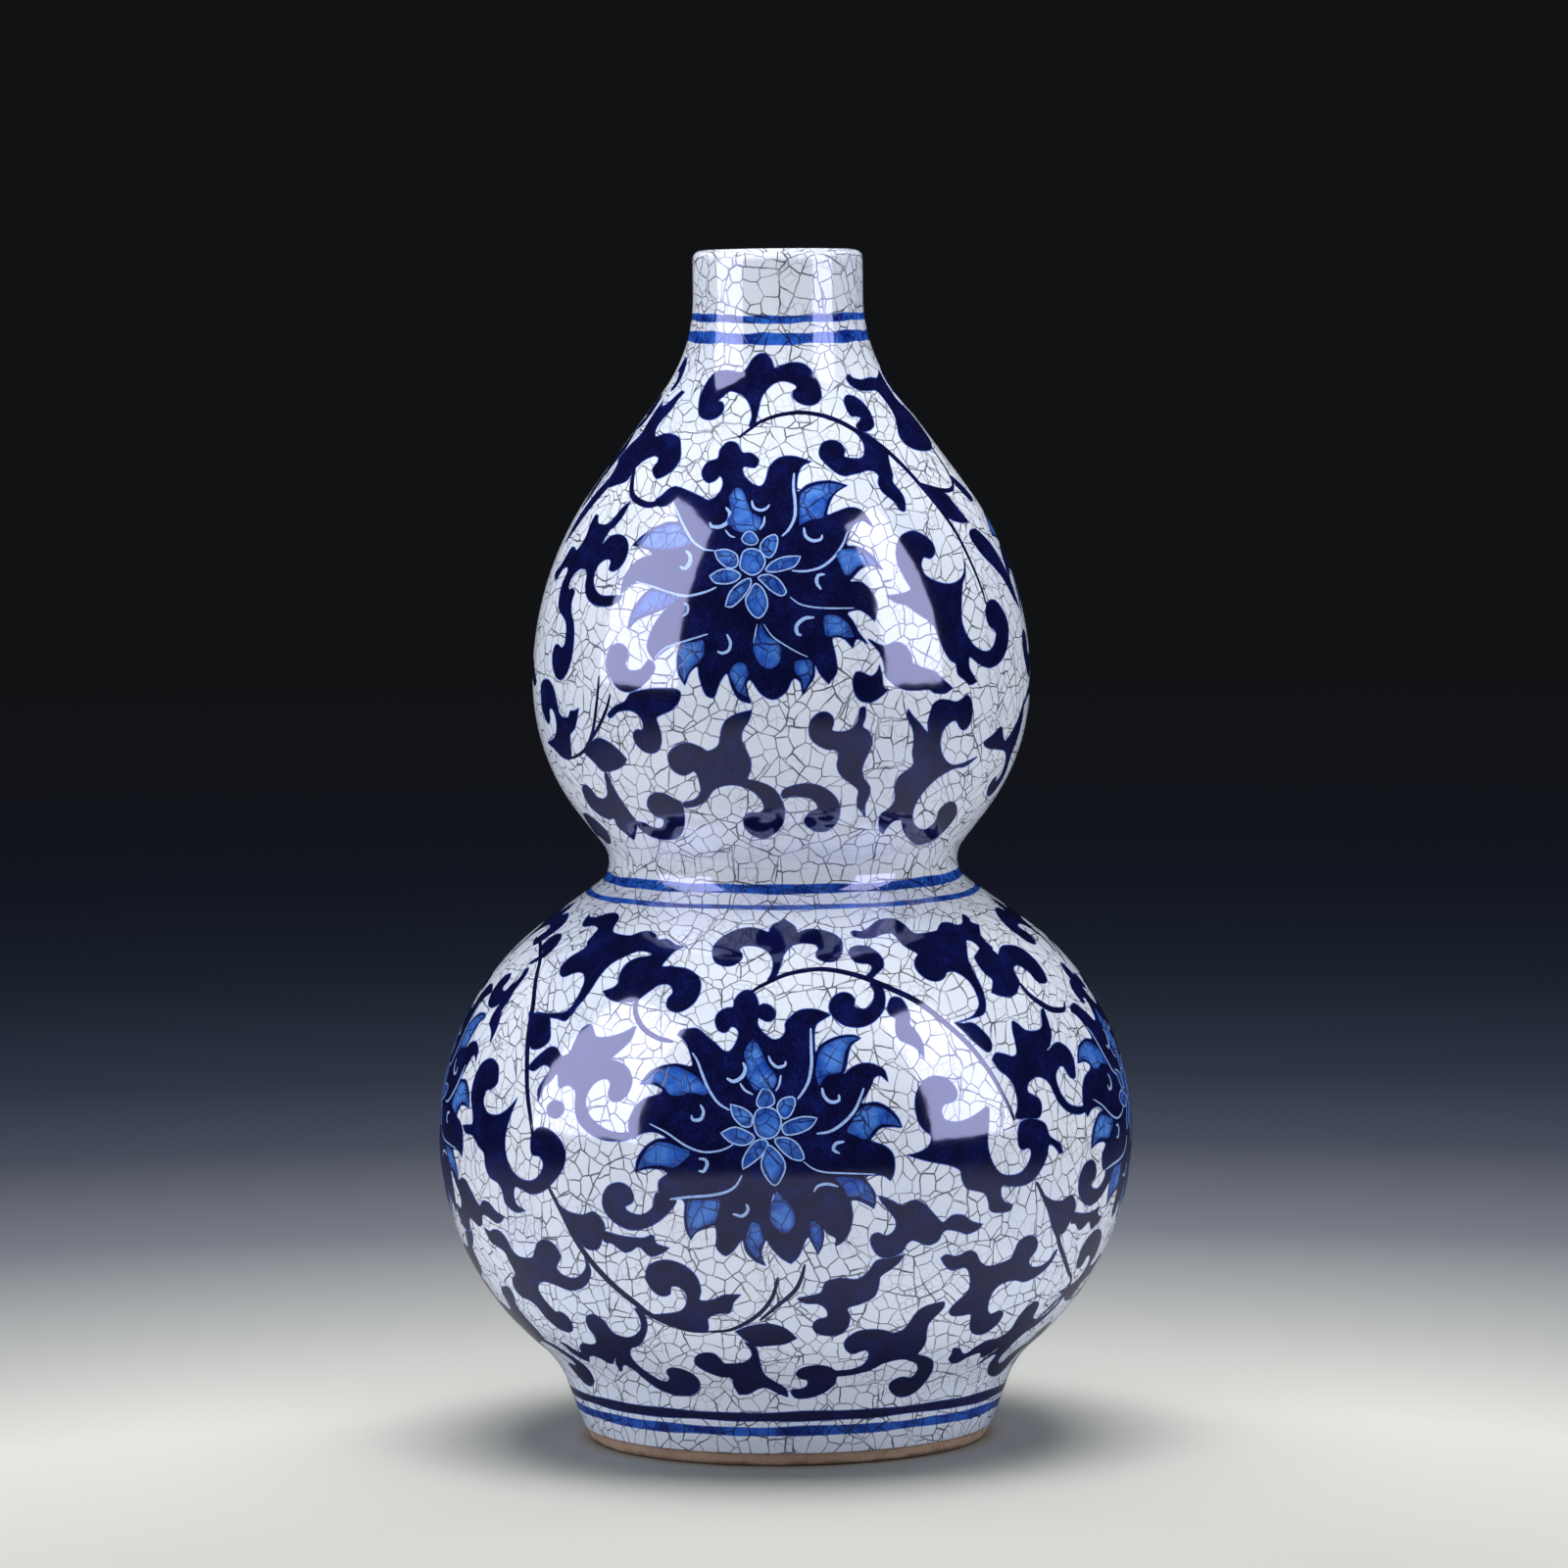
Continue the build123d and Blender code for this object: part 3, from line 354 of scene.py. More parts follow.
LOWER_RIGHT = """
16.8,66.5! 17.7,67.1 19.8,66.7 22.5,68.3 25.1,70.1 27.8,70.8 30.8,70.4 32.3,68.3 33,65.5 33.8,64.6
36.7,64.6 40.3,64.9 42.4,66.5 44.4,67.6 46.8,67.4 48.6,66.2 51,66.5 52.8,68 54.8,69.6 55.7,68.3
54.8,66.5 56.6,65.1! 54.8,63.3 53.1,61.5 52.8,59.2 53,56.5 50.4,57.5 48.9,57.8 48.9,58.7 48.3,60.1
46.8,60.4 45.6,58.7 44.4,56.9 43,54.2 42.4,51.5 42.1,47.8 41.8,44.2 40.9,40.5 39.4,38 36.4,37.2
33.8,36.6 32.3,36.3 36.4,37.6 38.2,39.2 39.4,41 39.9,44.2 39.7,47.4 38.5,49.8 37,51 35.2,50.7 34.5,49.6
32.6,48.5 30.5,48.9 28.9,51 28.6,53.7 29.6,56 30.8,57.4 29.6,59.2 28.4,61 28.1,63.3 27.2,65.5 24.8,65.3
21.9,64.2 18.9,64.2 17.1,65.1 ;
45,54.2 44.7,51.9 45,49.2 45.9,47.4 45,45.5 43.7,43.7! 45.6,42.4 48,41.9 50.4,42.5 51.6,43.7 53.1,45.1
53.6,46.5 53.9,48.7 55.1,50.1 56.9,50.3 57.8,49.2 58.8,47.4 59,45.1 60.5,43.9 62.9,44.2 64.3,46.5
64.9,50.1 64.2,53.7 62.3,56 58.7,56.9 56.3,56.7 54.8,55.8 52.8,54.6 52.5,57.8 52.8,60.1 50.4,59.2
48.9,57.4 47.1,56 45.6,55.1 ;
32.3,36.5 34.1,36 36.1,36 37.6,34 38.8,31 38.5,28.7 37.4,28 36.1,29.6 34.6,31.9 33.5,34.2 ;
37.9,26! 39.1,27.6 40.9,27.1 42.7,26.2 43.8,26.9 44.3,29.6 44.7,32.8 45.6,35.3 46.8,34.2 48,32.4
50.4,31.9 52.5,32.4 53.7,34.6 54.8,36.9 56,37.4! 55.4,33.7 54.8,30.5 53.1,27.8 51.6,26.5 52.8,26.9
54.8,28 56.3,27.8 58.1,26 58.7,23.3 58.1,20.1 57.5,18.5 56,18.9 55.3,20.5 54.8,21.9 53.7,21.9 52.3,20.4
51.9,18.3 52.5,15.1 54.2,12.4 56.9,11.3 58.9,11.5 61.6,12.8! 61.3,11.3 58.7,9.8 56.3,9.5 53.7,10.5
51.6,12.8 50.4,16 50,17.8 48.9,19.6 47.1,20.4 45.3,19.6 44.3,18.3 44.3,16.9 45.6,15.8 46.7,14.6
46.8,12.4 45.9,10.4 43.5,10.5 40.6,11 41.2,13.3 41.5,16 41.2,19.2 40.3,21.5 38.8,23.3 ;
41.5,9.8 44,10.4 47.1,8.7 48,5.5 50.4,3.3 51.3,1! 50.4,0.7 48.9,2.8 47.7,3.3 47.1,0.5 45.6,-2.6
43.8,-4.9 41.5,-5.8 39.1,-5.6 37.3,-5.1 37,-6.7 37.6,-9 39.7,-10.4! 39.4,-11.7 37.3,-12 35.2,-11.3
34.6,-9 33.8,-6.7 32,-5.8 30.2,-4.9 29.3,-2.6 29,-0.4 27.2,1 24.8,1.9 22.5,2.8 19.6,4.3! 21.3,4.6 23.4,6
24,8.5 22.8,10.1 21.9,12.4 21.6,16 22.2,19.6 24,22.4 26,23.1 28.1,22.2 29.3,20.1 29.5,17.8 28.4,16.5
26.9,16 26.2,14.4 26.6,12.4 28.4,11.5 30.8,11.9 33.2,13.3 35.2,14.5 34.9,10.5 34.4,6 34.6,3.3 35.5,0.1
37,-2.2 39.1,-2.9 41.2,-2.4 42.7,-0.4 43.4,1.9 43,3.3 41.5,3.1 40.7,4.2 40.7,7 ;
26.6,-22.6! 27.5,-21.7 29.6,-22.4 32,-21.3 33.5,-22.2 34.6,-24.5 36.4,-26.1 39.1,-25.8 41.5,-24.7
41.9,-22.6 42.4,-20.4 44.1,-19.2 45.9,-19.5 47.1,-21.3 47.3,-23.5 46.3,-25.4 46.5,-27.2 48,-28.4
50.1,-28.4 51.9,-27.2 52.8,-24.9 53.5,-24.5 53.1,-27.2 51.6,-29.9 49.2,-31.7 46.8,-32.4 44.4,-31.5
42.1,-31.5 40.3,-32.6 39.5,-34.9 39.6,-37.6 40.3,-39.9 41.5,-41.3 42.4,-41.1 43.6,-40.6 45,-41.7
45.2,-44.9 43.8,-47.6 42.1,-48.5 39.7,-47.6 37.9,-45.4 37,-42.6 36.4,-40.4 34.3,-40.6 32,-40.2 31,-38.5
32,-35.8 33.5,-33.5 33.8,-31.3 32.9,-27.6 31.7,-25.8 29.3,-26.3 27.8,-24.9 ;
36.5,-52.5! 38.5,-53 40.5,-55.3 42,-55.5 43.2,-53.3 45.5,-51.3 48,-51.3 50,-50.3 51,-48 50.7,-44.5
51.7,-41 53.7,-39.8 55.5,-41 56.1,-43.5 56.5,-45.5 59,-46.8 61.5,-45.8 63.7,-43 64.3,-39.5 63.9,-36.5
65.5,-37.5 65.3,-42 63.7,-46 61.5,-49.3 58.9,-51 57.5,-54 57.5,-57.5 58.5,-61 60.5,-63.8 62.5,-64.3
63.9,-63 64.1,-60.3 65.9,-58 68.7,-58.3 70.9,-61 71.3,-64.5 69.7,-67.5 66.5,-68.8 62.5,-68.6 58.5,-66.8
56,-63.5 55.1,-60.5 53.5,-58.5 51,-61.5 49.9,-62.3! 51.1,-58.5 52.5,-55.8 50.1,-58.6 48.5,-58.8
47.5,-57.3 46,-56.3 43.7,-57 41.5,-59.5 39.5,-59.2 37.5,-57 37.2,-54.5
"""
LOWER_LEAF = """
29.3,-35.4! 29.6,-37.2 28.4,-39.9 27.5,-42.2 27.8,-45.4 28.5,-48.5 28.4,-51.7 28.1,-53.5 30.2,-54.5
32.9,-56.7 34.6,-59.9 35.5,-63.5 34.9,-66.7 33.2,-69 30.5,-70.1 27.8,-69.5 25.7,-67.6 25,-65.4
26.3,-63.5 28.1,-63.1 29.9,-63.8 30.8,-62.6 30.8,-60.8 29.6,-58.1 27.8,-56.3 25.4,-55.1 23.1,-55.2
20.7,-56.3 19.2,-58.1 16.5,-59.9 13.6,-60.8 10.6,-60.8 10.6,-58.5 13.6,-58.1 15.9,-56.7 16.8,-54.5
16.8,-52.2 16.2,-50.4 15,-50.5 13.3,-51.5 11.8,-49.9 11.1,-47.2 11.8,-44.9 13.6,-43.1 16.5,-42.8
18.9,-43.5 20.7,-44.5 22.5,-43.5 23.4,-40.8 24,-38.5 25.4,-36.5 27.8,-35.6
"""
LOWER_RIGHT_LINES = """
1.7: 44.7,-5.4 47.4,-10.8 51,-17.6 53.6,-23.1 57.5,-28.5 61.1,-32.6 63.4,-34.6 65.3,-37.5 ;
1.2: 65,-37 63.5,-40.5 61.5,-43.5 59,-46.5 ;
1.7: 53.1,45.1 53.9,41.5 56.3,38.3 58.7,36.5 62.8,36 64.6,37.8
"""
LOWER_LEFT = """
-57,20.5 -58,23 -61,24.3 -64,22.5 -65.2,18.5 -65,14 -63.5,10.5 -63,7.5 -65,6.8 -67,6.3! -65.5,4.8
-62.5,4.5 -60.5,2.3 -58.5,0.8 -58.2,-2 -57,-4.8 -54.5,-6 -53.5,-8 -53,-11 -50.5,-12.7 -47.8,-12!
-50,-10.6 -50.3,-7.6 -49.5,-6 -46,-7.4 -43,-6.3 -40.5,-3.5 -38.5,0 -38,3.5 -39,6.5 -41.5,9 -44,9.3
-45.6,7.3 -45.8,5 -45.4,2.5 -43.6,2.2 -42.8,0.3 -43.6,-2.2 -45.5,-4 -48,-4 -50.5,-2 -52,2 -52.2,6.5
-51.3,11.5 -50.2,16! -52.2,13 -55,10.9 -58.2,11 -60,13.4 -59.8,16.2 -58.2,16.9 -56.8,18.6 ;
-63.5,70! -61.5,69 -58.5,69.3 -55.5,71 -52,71.6 -49,70 -48,67 -46.5,65 -43.5,64.3 -40,64.3 -38,65.7
-35.5,66.3 -33,65.3 -31.5,63.5 -29,63.8 -26,62 -23.6,61.3! -25.5,59.5 -26.3,57 -26.8,54.5 -24.5,54.5
-20.5,53.8 -17.5,51 -16.7,47.5 -17.5,43.5 -20,41 -22.5,42 -23,44.5 -22.3,46.5 -23.3,48.6 -25.5,48.8
-27.6,46.3 -29.5,43.8 -33,43 -36.2,44 -38,45.8! -36,47 -35.3,48.5 -36,51 -35.8,54.5 -33.8,56.8 -31,57.6
-31,58.6 -34.5,59 -37.5,56.8 -39.8,54 -40.8,50 -41.2,45.5 -42.5,40.5 -43.8,36.8 -46,37 -50,37.2 -53,38
-48,38.2 -44.5,39.5 -43.6,43.5 -44,48 -46,50.6 -48.5,50.2 -50.5,48.8 -52.5,49.5 -53.8,52 -53.2,55
-51.5,57.3 -50.8,59 -52,60.5 -52.3,63 -53,65.5 -56,66.3 -59.5,65.5 -62,67 ;
-55,37.8! -51.5,37.6 -48.5,37.2 -47,34.5 -46,31.3 -47.5,29 -50,28.5 -51.5,31 -53.2,34.5 ;
-49.2,23.8 -47.6,26.8 -45.4,29.4 -43.6,29.4 -42,27.6 -40.4,27.8 -40,31 -39.2,35 -37.6,36.4 -36.4,34.6
-35.4,33.2 -33,33.4 -30.4,34.6 -27.8,36.8! -28.2,33 -30,29.8 -31.4,27.6 -29.6,27.2 -27.4,25.4 -26.4,22
-27.4,18.4 -29.4,17.2 -30.6,19 -30.4,21.5 -31.6,22.8 -33.6,21.4 -34.8,18 -34.4,14.8 -32.6,12 -29.6,10
-26.4,9.6 -24.2,11! -26,8.2 -29.6,7.6 -33,8.8 -35.8,11.8 -36.8,15.4 -37.2,19 -39,20.4 -40.8,19.6
-41.4,21.5 -42,23 -43,21 -44.2,19.5 -45,15.5! -45.6,18.5 -44.6,21.5 -43.8,24 -45.6,24.8 -47.6,23 ;
-42.8,14.5 -41.5,16.3 -39.6,15.8 -39,13.8 -40.4,12 -42.2,12.6 ;
-62,-18.7! -60.3,-19.5 -58.5,-18.7 -56.5,-18.8 -55,-20.5 -54.2,-23.5 -52.5,-25 -49,-24.6 -47.7,-22.5
-46.2,-20 -44,-19 -42.2,-20.3 -41.5,-23 -42.5,-25 -43.3,-26.5 -42.5,-28.3 -40,-29 -37.8,-27.5 -36.3,-25
-36.2,-22! -35.5,-26 -36.8,-29.5 -39,-31.8 -42,-32.8 -45,-31.8 -47.5,-31.2 -49.6,-32 -50.8,-34.5
-50.2,-38 -49,-40.6 -47.5,-40.4 -46.2,-41.5 -46,-44 -47.2,-46.6 -49.5,-47.7 -52,-46.5 -53.6,-43.5
-54.4,-40 -56,-38.3 -58.2,-37.8 -59.3,-35.5 -58.3,-32.5 -56.2,-30.6 -56.3,-27.5 -57,-24.5 -59,-23.3
-61,-22.3 ;
-56,-52.5! -54,-53 -52,-55.3 -50.5,-55.5 -49.3,-53.3 -47,-51.3 -44.5,-51.3 -42.5,-50.3 -41.5,-48
-41.8,-44.5 -40.8,-41 -38.8,-39.8 -37,-41 -36.4,-43.5 -36,-45.5 -33.5,-46.8 -31,-45.8 -28.8,-43
-28.2,-39.5 -28.6,-36.5 -27,-37.5 -27.2,-42 -28.8,-46 -31,-49.3 -33.6,-51 -35,-54 -35,-57.5 -34,-61
-32,-63.8 -30,-64.3 -28.6,-63 -28.4,-60.3 -26.6,-58 -23.8,-58.3 -21.6,-61 -21.2,-64.5 -22.8,-67.5
-26,-68.8 -30,-68.6 -34,-66.8 -36.5,-63.5 -37.4,-60.5 -39,-58.5 -41.5,-61.5 -42.6,-62.3! -41.4,-58.5
-40,-55.8 -42.4,-58.6 -44,-58.8 -45,-57.3 -46.5,-56.3 -48.8,-57 -51,-59.5 -53,-59.2 -55,-57 -55.3,-54.5
"""
LOWER_LEFT_STEM = """
1.9: -78,58 -72,57.5 -67,55 -63,52 -59,46.5 -55,40 -52.5,33 -50,25 -48,17.5 -46.2,11 -45,5
"""
LOWER_LEFT_LINES = """
1.7: -42,-4.5 -39.5,-11 -37.3,-18 -34.8,-24 -31.5,-30 -28,-35 -26,-38 -22,-41 -18.5,-42.8 -15,-43 ;
1.6: -29.5,46 -29,41 -26.5,36.5 -23,33.8 -20,33
"""

# Paint of each face of the glaze, later kinds over earlier ones
BARE, BLEED, LINE, COBALT, PALE, WASH = range(6)

# Double lines round the neck, waist and foot: paint, height on the surface, width
BAND_LINES = [
    (LINE, 283.4, 1.6),
    (LINE, 278.6, 2.6),
    (LINE, 143.2, 2.2),
    (LINE, 139.2, 1.4),
    (COBALT, 13.3, 2.4),
    (LINE, 9.4, 2.3),
]

# Turns in degrees at which each part of the painting is repeated
UPPER_TURNS = (0.0, 120.0, -120.0)
UPPER_RIGHT_TURNS = (0.0, 120.0)
FLOWER_TURNS = (0.0, 84.5, -84.0, 183.0)
SPRIG_TURNS = (0.0, 87.0, -88.0, 183.0)
ARCH_TURNS = (0.0, 87.5, 183.0)
LEAF_TURNS = (0.0, 90.5, -91.0, 181.0)
RIGHT_TURNS = (0.0, 90.5)
LEFT_TURNS = (0.0, -90.0)
ONCE = (0.0,)

# Every part of the painting: the level it is measured from, its paint, outlines and turns
PAINTING = [
    (UPPER_LEVEL, COBALT, UPPER_FLOWER, UPPER_TURNS),
    (UPPER_LEVEL, COBALT, UPPER_FLOWER_LINES, UPPER_RIGHT_TURNS),
    (UPPER_LEVEL, COBALT, UPPER_RIGHT, UPPER_RIGHT_TURNS),
    (UPPER_LEVEL, COBALT, UPPER_RIGHT_LINES, UPPER_RIGHT_TURNS),
    (UPPER_LEVEL, COBALT, UPPER_LEFT, ONCE),
    (UPPER_LEVEL, COBALT, UPPER_LEFT_LINES, ONCE),
    (UPPER_LEVEL, PALE, UPPER_PALE, UPPER_TURNS),
    (UPPER_LEVEL, WASH, UPPER_WASH, UPPER_TURNS),
    (UPPER_LEVEL, WASH, UPPER_ROSETTE, UPPER_TURNS),
    (LOWER_LEVEL, COBALT, LOWER_FLOWER, FLOWER_TURNS),
    (LOWER_LEVEL, COBALT, LOWER_ARCH, ARCH_TURNS),
    (LOWER_LEVEL, COBALT, LOWER_SPRIGS, SPRIG_TURNS),
    (LOWER_LEVEL, COBALT, LOWER_SPRIG_LINES, SPRIG_TURNS),
    (LOWER_LEVEL, COBALT, LOWER_LEAF, LEAF_TURNS),
    (LOWER_LEVEL, COBALT, LOWER_RIGHT, RIGHT_TURNS),
    (LOWER_LEVEL, COBALT, LOWER_RIGHT_LINES, RIGHT_TURNS),
    (LOWER_LEVEL, COBALT, LOWER_LEFT, LEFT_TURNS),
    (LOWER_LEVEL, COBALT, LOWER_LEFT_STEM, ONCE),
    (LOWER_LEVEL, COBALT, LOWER_LEFT_LINES, LEFT_TURNS),
    (LOWER_LEVEL, PALE, LOWER_PALE, FLOWER_TURNS),
    (LOWER_LEVEL, WASH, LOWER_WASH, FLOWER_TURNS),
    (LOWER_LEVEL, WASH, LOWER_ROSETTE, FLOWER_TURNS),
]


# The vase's half section, repeated from the CAD part: radius across, height up
OUT, INWARD = Vector((1, 0)), Vector((-1, 0))

# Longest step in millimetres between a section's points, and the fewest steps on an arc
SECTION_STEP, FEWEST_STEPS = 0.2, 4


def fullest_arc(bulb_radius, throat_radius, rise, sweep, fullness):
    """Radius of a bulb's arc, as a share of the fullest that its throat leaves room for."""
    step = bulb_radius - throat_radius
    return fullness * (rise**2 + step**2) / (2 * step) - sweep


def crossing_normal(bulb, bulb_arc, throat, sweep, side):
    """Outward normal of the straight run between a bulb's arc and a throat's hollow sweep."""
    reach = throat - bulb
    angle = math.atan2(reach.y, reach.x) + side * math.acos((bulb_arc + sweep) / reach.length)
    return Vector((math.cos(angle), math.sin(angle)))


def outside_arcs():
    """Arcs of the outside from foot to neck: centre, radius, normals at the low and high end."""
    lower_belly_arc = LOWER_BELLY_FULLNESS * LOWER_LEVEL
    lower_shoulder_arc = fullest_arc(
        LOWER_RADIUS, WAIST_RADIUS, WAIST_LEVEL - LOWER_LEVEL, WAIST_SWEEP, LOWER_SHOULDER_FULLNESS
    )
    upper_belly_arc = fullest_arc(
        UPPER_RADIUS, WAIST_RADIUS, UPPER_LEVEL - WAIST_LEVEL, WAIST_SWEEP, UPPER_BELLY_FULLNESS
    )
    upper_shoulder_arc = fullest_arc(
        UPPER_RADIUS, NECK_RADIUS, NECK_LEVEL - UPPER_LEVEL, NECK_SWEEP, UPPER_SHOULDER_FULLNESS
    )
    lower_belly = Vector((LOWER_RADIUS - lower_belly_arc, LOWER_LEVEL))
    lower_shoulder = Vector((LOWER_RADIUS - lower_shoulder_arc, LOWER_LEVEL))
    upper_belly = Vector((UPPER_RADIUS - upper_belly_arc, UPPER_LEVEL))
    upper_shoulder = Vector((UPPER_RADIUS - upper_shoulder_arc, UPPER_LEVEL))
    waist = Vector((WAIST_RADIUS + WAIST_SWEEP, WAIST_LEVEL))
    neck = Vector((NECK_RADIUS + NECK_SWEEP, NECK_LEVEL))

    sweep_start = Vector((FOOT_RADIUS, 0)) + foot_normal() * FOOT_SWEEP - lower_belly
    along = sweep_start.dot(foot_rise())
    beyond = sweep_start.dot(sweep_start) - (FOOT_SWEEP + lower_belly_arc) ** 2
    foot_sweep = lower_belly + sweep_start - foot_rise() * (along + math.sqrt(along**2 - beyond))

    belly_normal = (foot_sweep - lower_belly).normalized()
    under_waist = crossing_normal(lower_shoulder, lower_shoulder_arc, waist, WAIST_SWEEP, -1)
    over_waist = crossing_normal(upper_belly, upper_belly_arc, waist, WAIST_SWEEP, 1)
    under_neck = crossing_normal(upper_shoulder, upper_shoulder_arc, neck, NECK_SWEEP, -1)
    return [
        (foot_sweep, -FOOT_SWEEP, foot_normal(), belly_normal),
        (lower_belly, lower_belly_arc, belly_normal, OUT),
        (lower_shoulder, lower_shoulder_arc, OUT, under_waist),
        (waist, -WAIST_SWEEP, under_waist, over_waist),
        (upper_belly, upper_belly_arc, over_waist, OUT),
        (upper_shoulder, upper_shoulder_arc, OUT, under_neck),
        (neck, -NECK_SWEEP, under_neck, OUT),
    ]


def foot_rise():
    """Direction up the foot's flared side."""
    return Vector((math.sin(FOOT_FLARE), math.cos(FOOT_FLARE)))


def foot_normal():
    """Outward normal of the foot's flared side."""
    return Vector((math.cos(FOOT_FLARE), -math.sin(FOOT_FLARE)))


def foot_point(inset, level):
    """Point of the foot's side, inset from the outside, at a height above the ground."""
    start = Vector((FOOT_RADIUS, 0)) - foot_normal() * inset
    return start + foot_rise() * ((level - start.y) / foot_rise().y)


class Section:
    """A half section as close points: radius, height, normal, and length along it."""

    def __init__(self, arcs, inset=0.0):
        points = []
        normals = []
        for centre, radius, low, high in arcs:
            start = math.atan2(low.y, low.x)
            end = math.atan2(high.y, high.x)
            count = int(abs((end - start) * (radius - inset)) / SECTION_STEP) + FEWEST_STEPS
            for angle in np.linspace(start, end, count):
                normal = Vector((math.cos(angle), math.sin(angle)))
                points.append(centre + normal * (radius - inset))
                normals.append(normal)
        self.points = np.array(points)
        self.normals = np.array(normals)
        steps = np.hypot(*np.diff(self.points, axis=0).T)
        self.along = np.concatenate([[0.0], np.cumsum(steps)])
        self.length = self.along[-1]

    def radius(self, along):
        """Radius at a length along the section."""
        return np.interp(along, self.along, self.points[:, 0])

    def level(self, along):
        """Height at a length along the section."""
        return np.interp(along, self.along, self.points[:, 1])

    def climb(self, level):
        """Length along the section at a height."""
        return np.interp(level, self.points[:, 1], self.along)

    def place(self, degrees, along):
        """Points in metres on the turned surface, and their outward normals."""
        angle = np.radians(degrees)
        radius = self.radius(along) * MM
        places = np.stack([radius * np.sin(angle), -radius * np.cos(angle), self.level(along) * MM], 1)
        across = np.interp(along, self.along, self.normals[:, 0])
        up = np.interp(along, self.along, self.normals[:, 1])
        normals = np.stack([across * np.sin(angle), -across * np.cos(angle), up], 1)
        normals /= np.linalg.norm(normals, axis=1)[:, None]
        return places, normals


def rim_arc():
    """The half round of the lip, from its outer to its inner side."""
    reach = WALL / 2 + GLAZE
    return Vector((NECK_RADIUS - reach, HEIGHT - reach)), reach, OUT, INWARD


def glaze_face():
    """Section of the outer glaze's face, from its rounded edge above the foot to the inner lip."""
    edge = (foot_point(GLAZE, BARE_BAND + GLAZE), GLAZE, -foot_rise(), foot_normal())
    return Section([edge] + outside_arcs() + [rim_arc()])


def glaze_back():
    """Section of the outer glaze's back, on the clay."""
    return Section(outside_arcs() + [rim_arc()], inset=GLAZE)


# Painted outlines

# Length under which a step counts as none
TINY = 1e-9


def read_shapes(text):
    """Shapes of a motif: brush width or None, points, and which points are sharp corners."""
    shapes = []
    for part in text.split(";"):
        width = None
        if ":" in part:
            head, part = part.split(":")
            width = float(head)
        words = part.split()
        points = np.array([[float(n) for n in word.rstrip("!").split(",")] for word in words])
        sharp = [word.endswith("!") for word in words]
        shapes.append((width, points, sharp))
    return shapes


def smooth_outline(points, sharp, closed, spacing):
    """Points along the smooth curve through an outline, sharp only at its corners."""
    count = len(points)
    last = count if closed else count - 1
    made = []
    for i in range(last):
        j = (i + 1) % count
        chord = points[j] - points[i]
        length = np.hypot(*chord)
        slopes = []
        for k in (i, j):
            end = not closed and k in (0, count - 1)
            if sharp[k] or end:
                slopes.append(chord)
                continue
            slope = (points[(k + 1) % count] - points[k - 1]) / 2
            slopes.append(slope * min(1.0, length / max(np.hypot(*slope), TINY)))
        pieces = max(2, math.ceil(length / spacing))
        t = np.arange(pieces)[:, None] / pieces
        made.append(
            (2 * t**3 - 3 * t**2 + 1) * points[i]
            + (t**3 - 2 * t**2 + t) * slopes[0]
            + (3 * t**2 - 2 * t**3) * points[j]
            + (t**3 - t**2) * slopes[1]
        )
    if not closed:
        made.append(points[-1:])
    return np.concatenate(made)


def side_steps(path, closed):
    """Unit steps to the left of a path of points in millimetres."""
    if closed:
        run = np.roll(path, -1, axis=0) - np.roll(path, 1, axis=0)
    else:
        run = np.gradient(path, axis=0)
    run /= np.maximum(np.hypot(run[:, 0], run[:, 1]), TINY)[:, None]
    return np.stack([-run[:, 1], run[:, 0]], 1)


# Half width of a brush line at its drawn-out ends, and what is added in its middle, as shares
BRUSH_TIP_SHARE, BRUSH_BODY_SHARE = 0.45, 0.55


def brush_line(path, width):
    """Outline of one brush line: full in the middle, drawn out at both ends."""
    t = np.linspace(0.0, 1.0, len(path))
    half = width / 2 * (BRUSH_TIP_SHARE + BRUSH_BODY_SHARE * np.sin(math.pi * t) ** 0.5)
    step = side_steps(path, False) * half[:, None]
    return np.concatenate([path + step, (path - step)[::-1]])


def grown(path, width):
    """A closed outline set outward by a width."""
    ahead = np.roll(path, -1, axis=0)
    turning = np.sign(np.sum(path[:, 0] * ahead[:, 1] - ahead[:, 0] * path[:, 1]))
    return path - side_steps(path, True) * turning * width


# Angles of the points of a band line, which passes the back at both ends
BAND_ANGLES = np.linspace(-184.0, 184.0, 185)

# Waves of a band line's hand drawing as (size, waves in a turn, start): its place in millimetres, and its
# width as shares
BAND_SWAY = ((0.16, 3, 1), (0.09, 11, 2))
BAND_SWELL_SHARES = ((0.12, 7, 3), (0.07, 19, 1))


def band_waves(level, waves):
    """Sum of the waves along a band line, which begin at another angle on each line."""
    return sum(size * np.sin(np.radians(count * BAND_ANGLES + start * level)) for size, count, start in waves)


def band_shapes(face, bleed):
    """Each line round the vase, and the blue that has run from it."""
    shapes = []
    for paint, level, width in BAND_LINES:
        middle = face.climb(level) + band_waves(level, BAND_SWAY)
        half = width / 2 * (1 + band_waves(level, BAND_SWELL_SHARES))
        for kind, halo in ((BLEED, bleed), (paint, 0.0)):
            top = np.stack([BAND_ANGLES, middle + half + halo], 1)
            foot = np.stack([BAND_ANGLES, middle - half - halo], 1)
            shapes.append((kind, np.concatenate([top, foot[::-1]])))
    return shapes


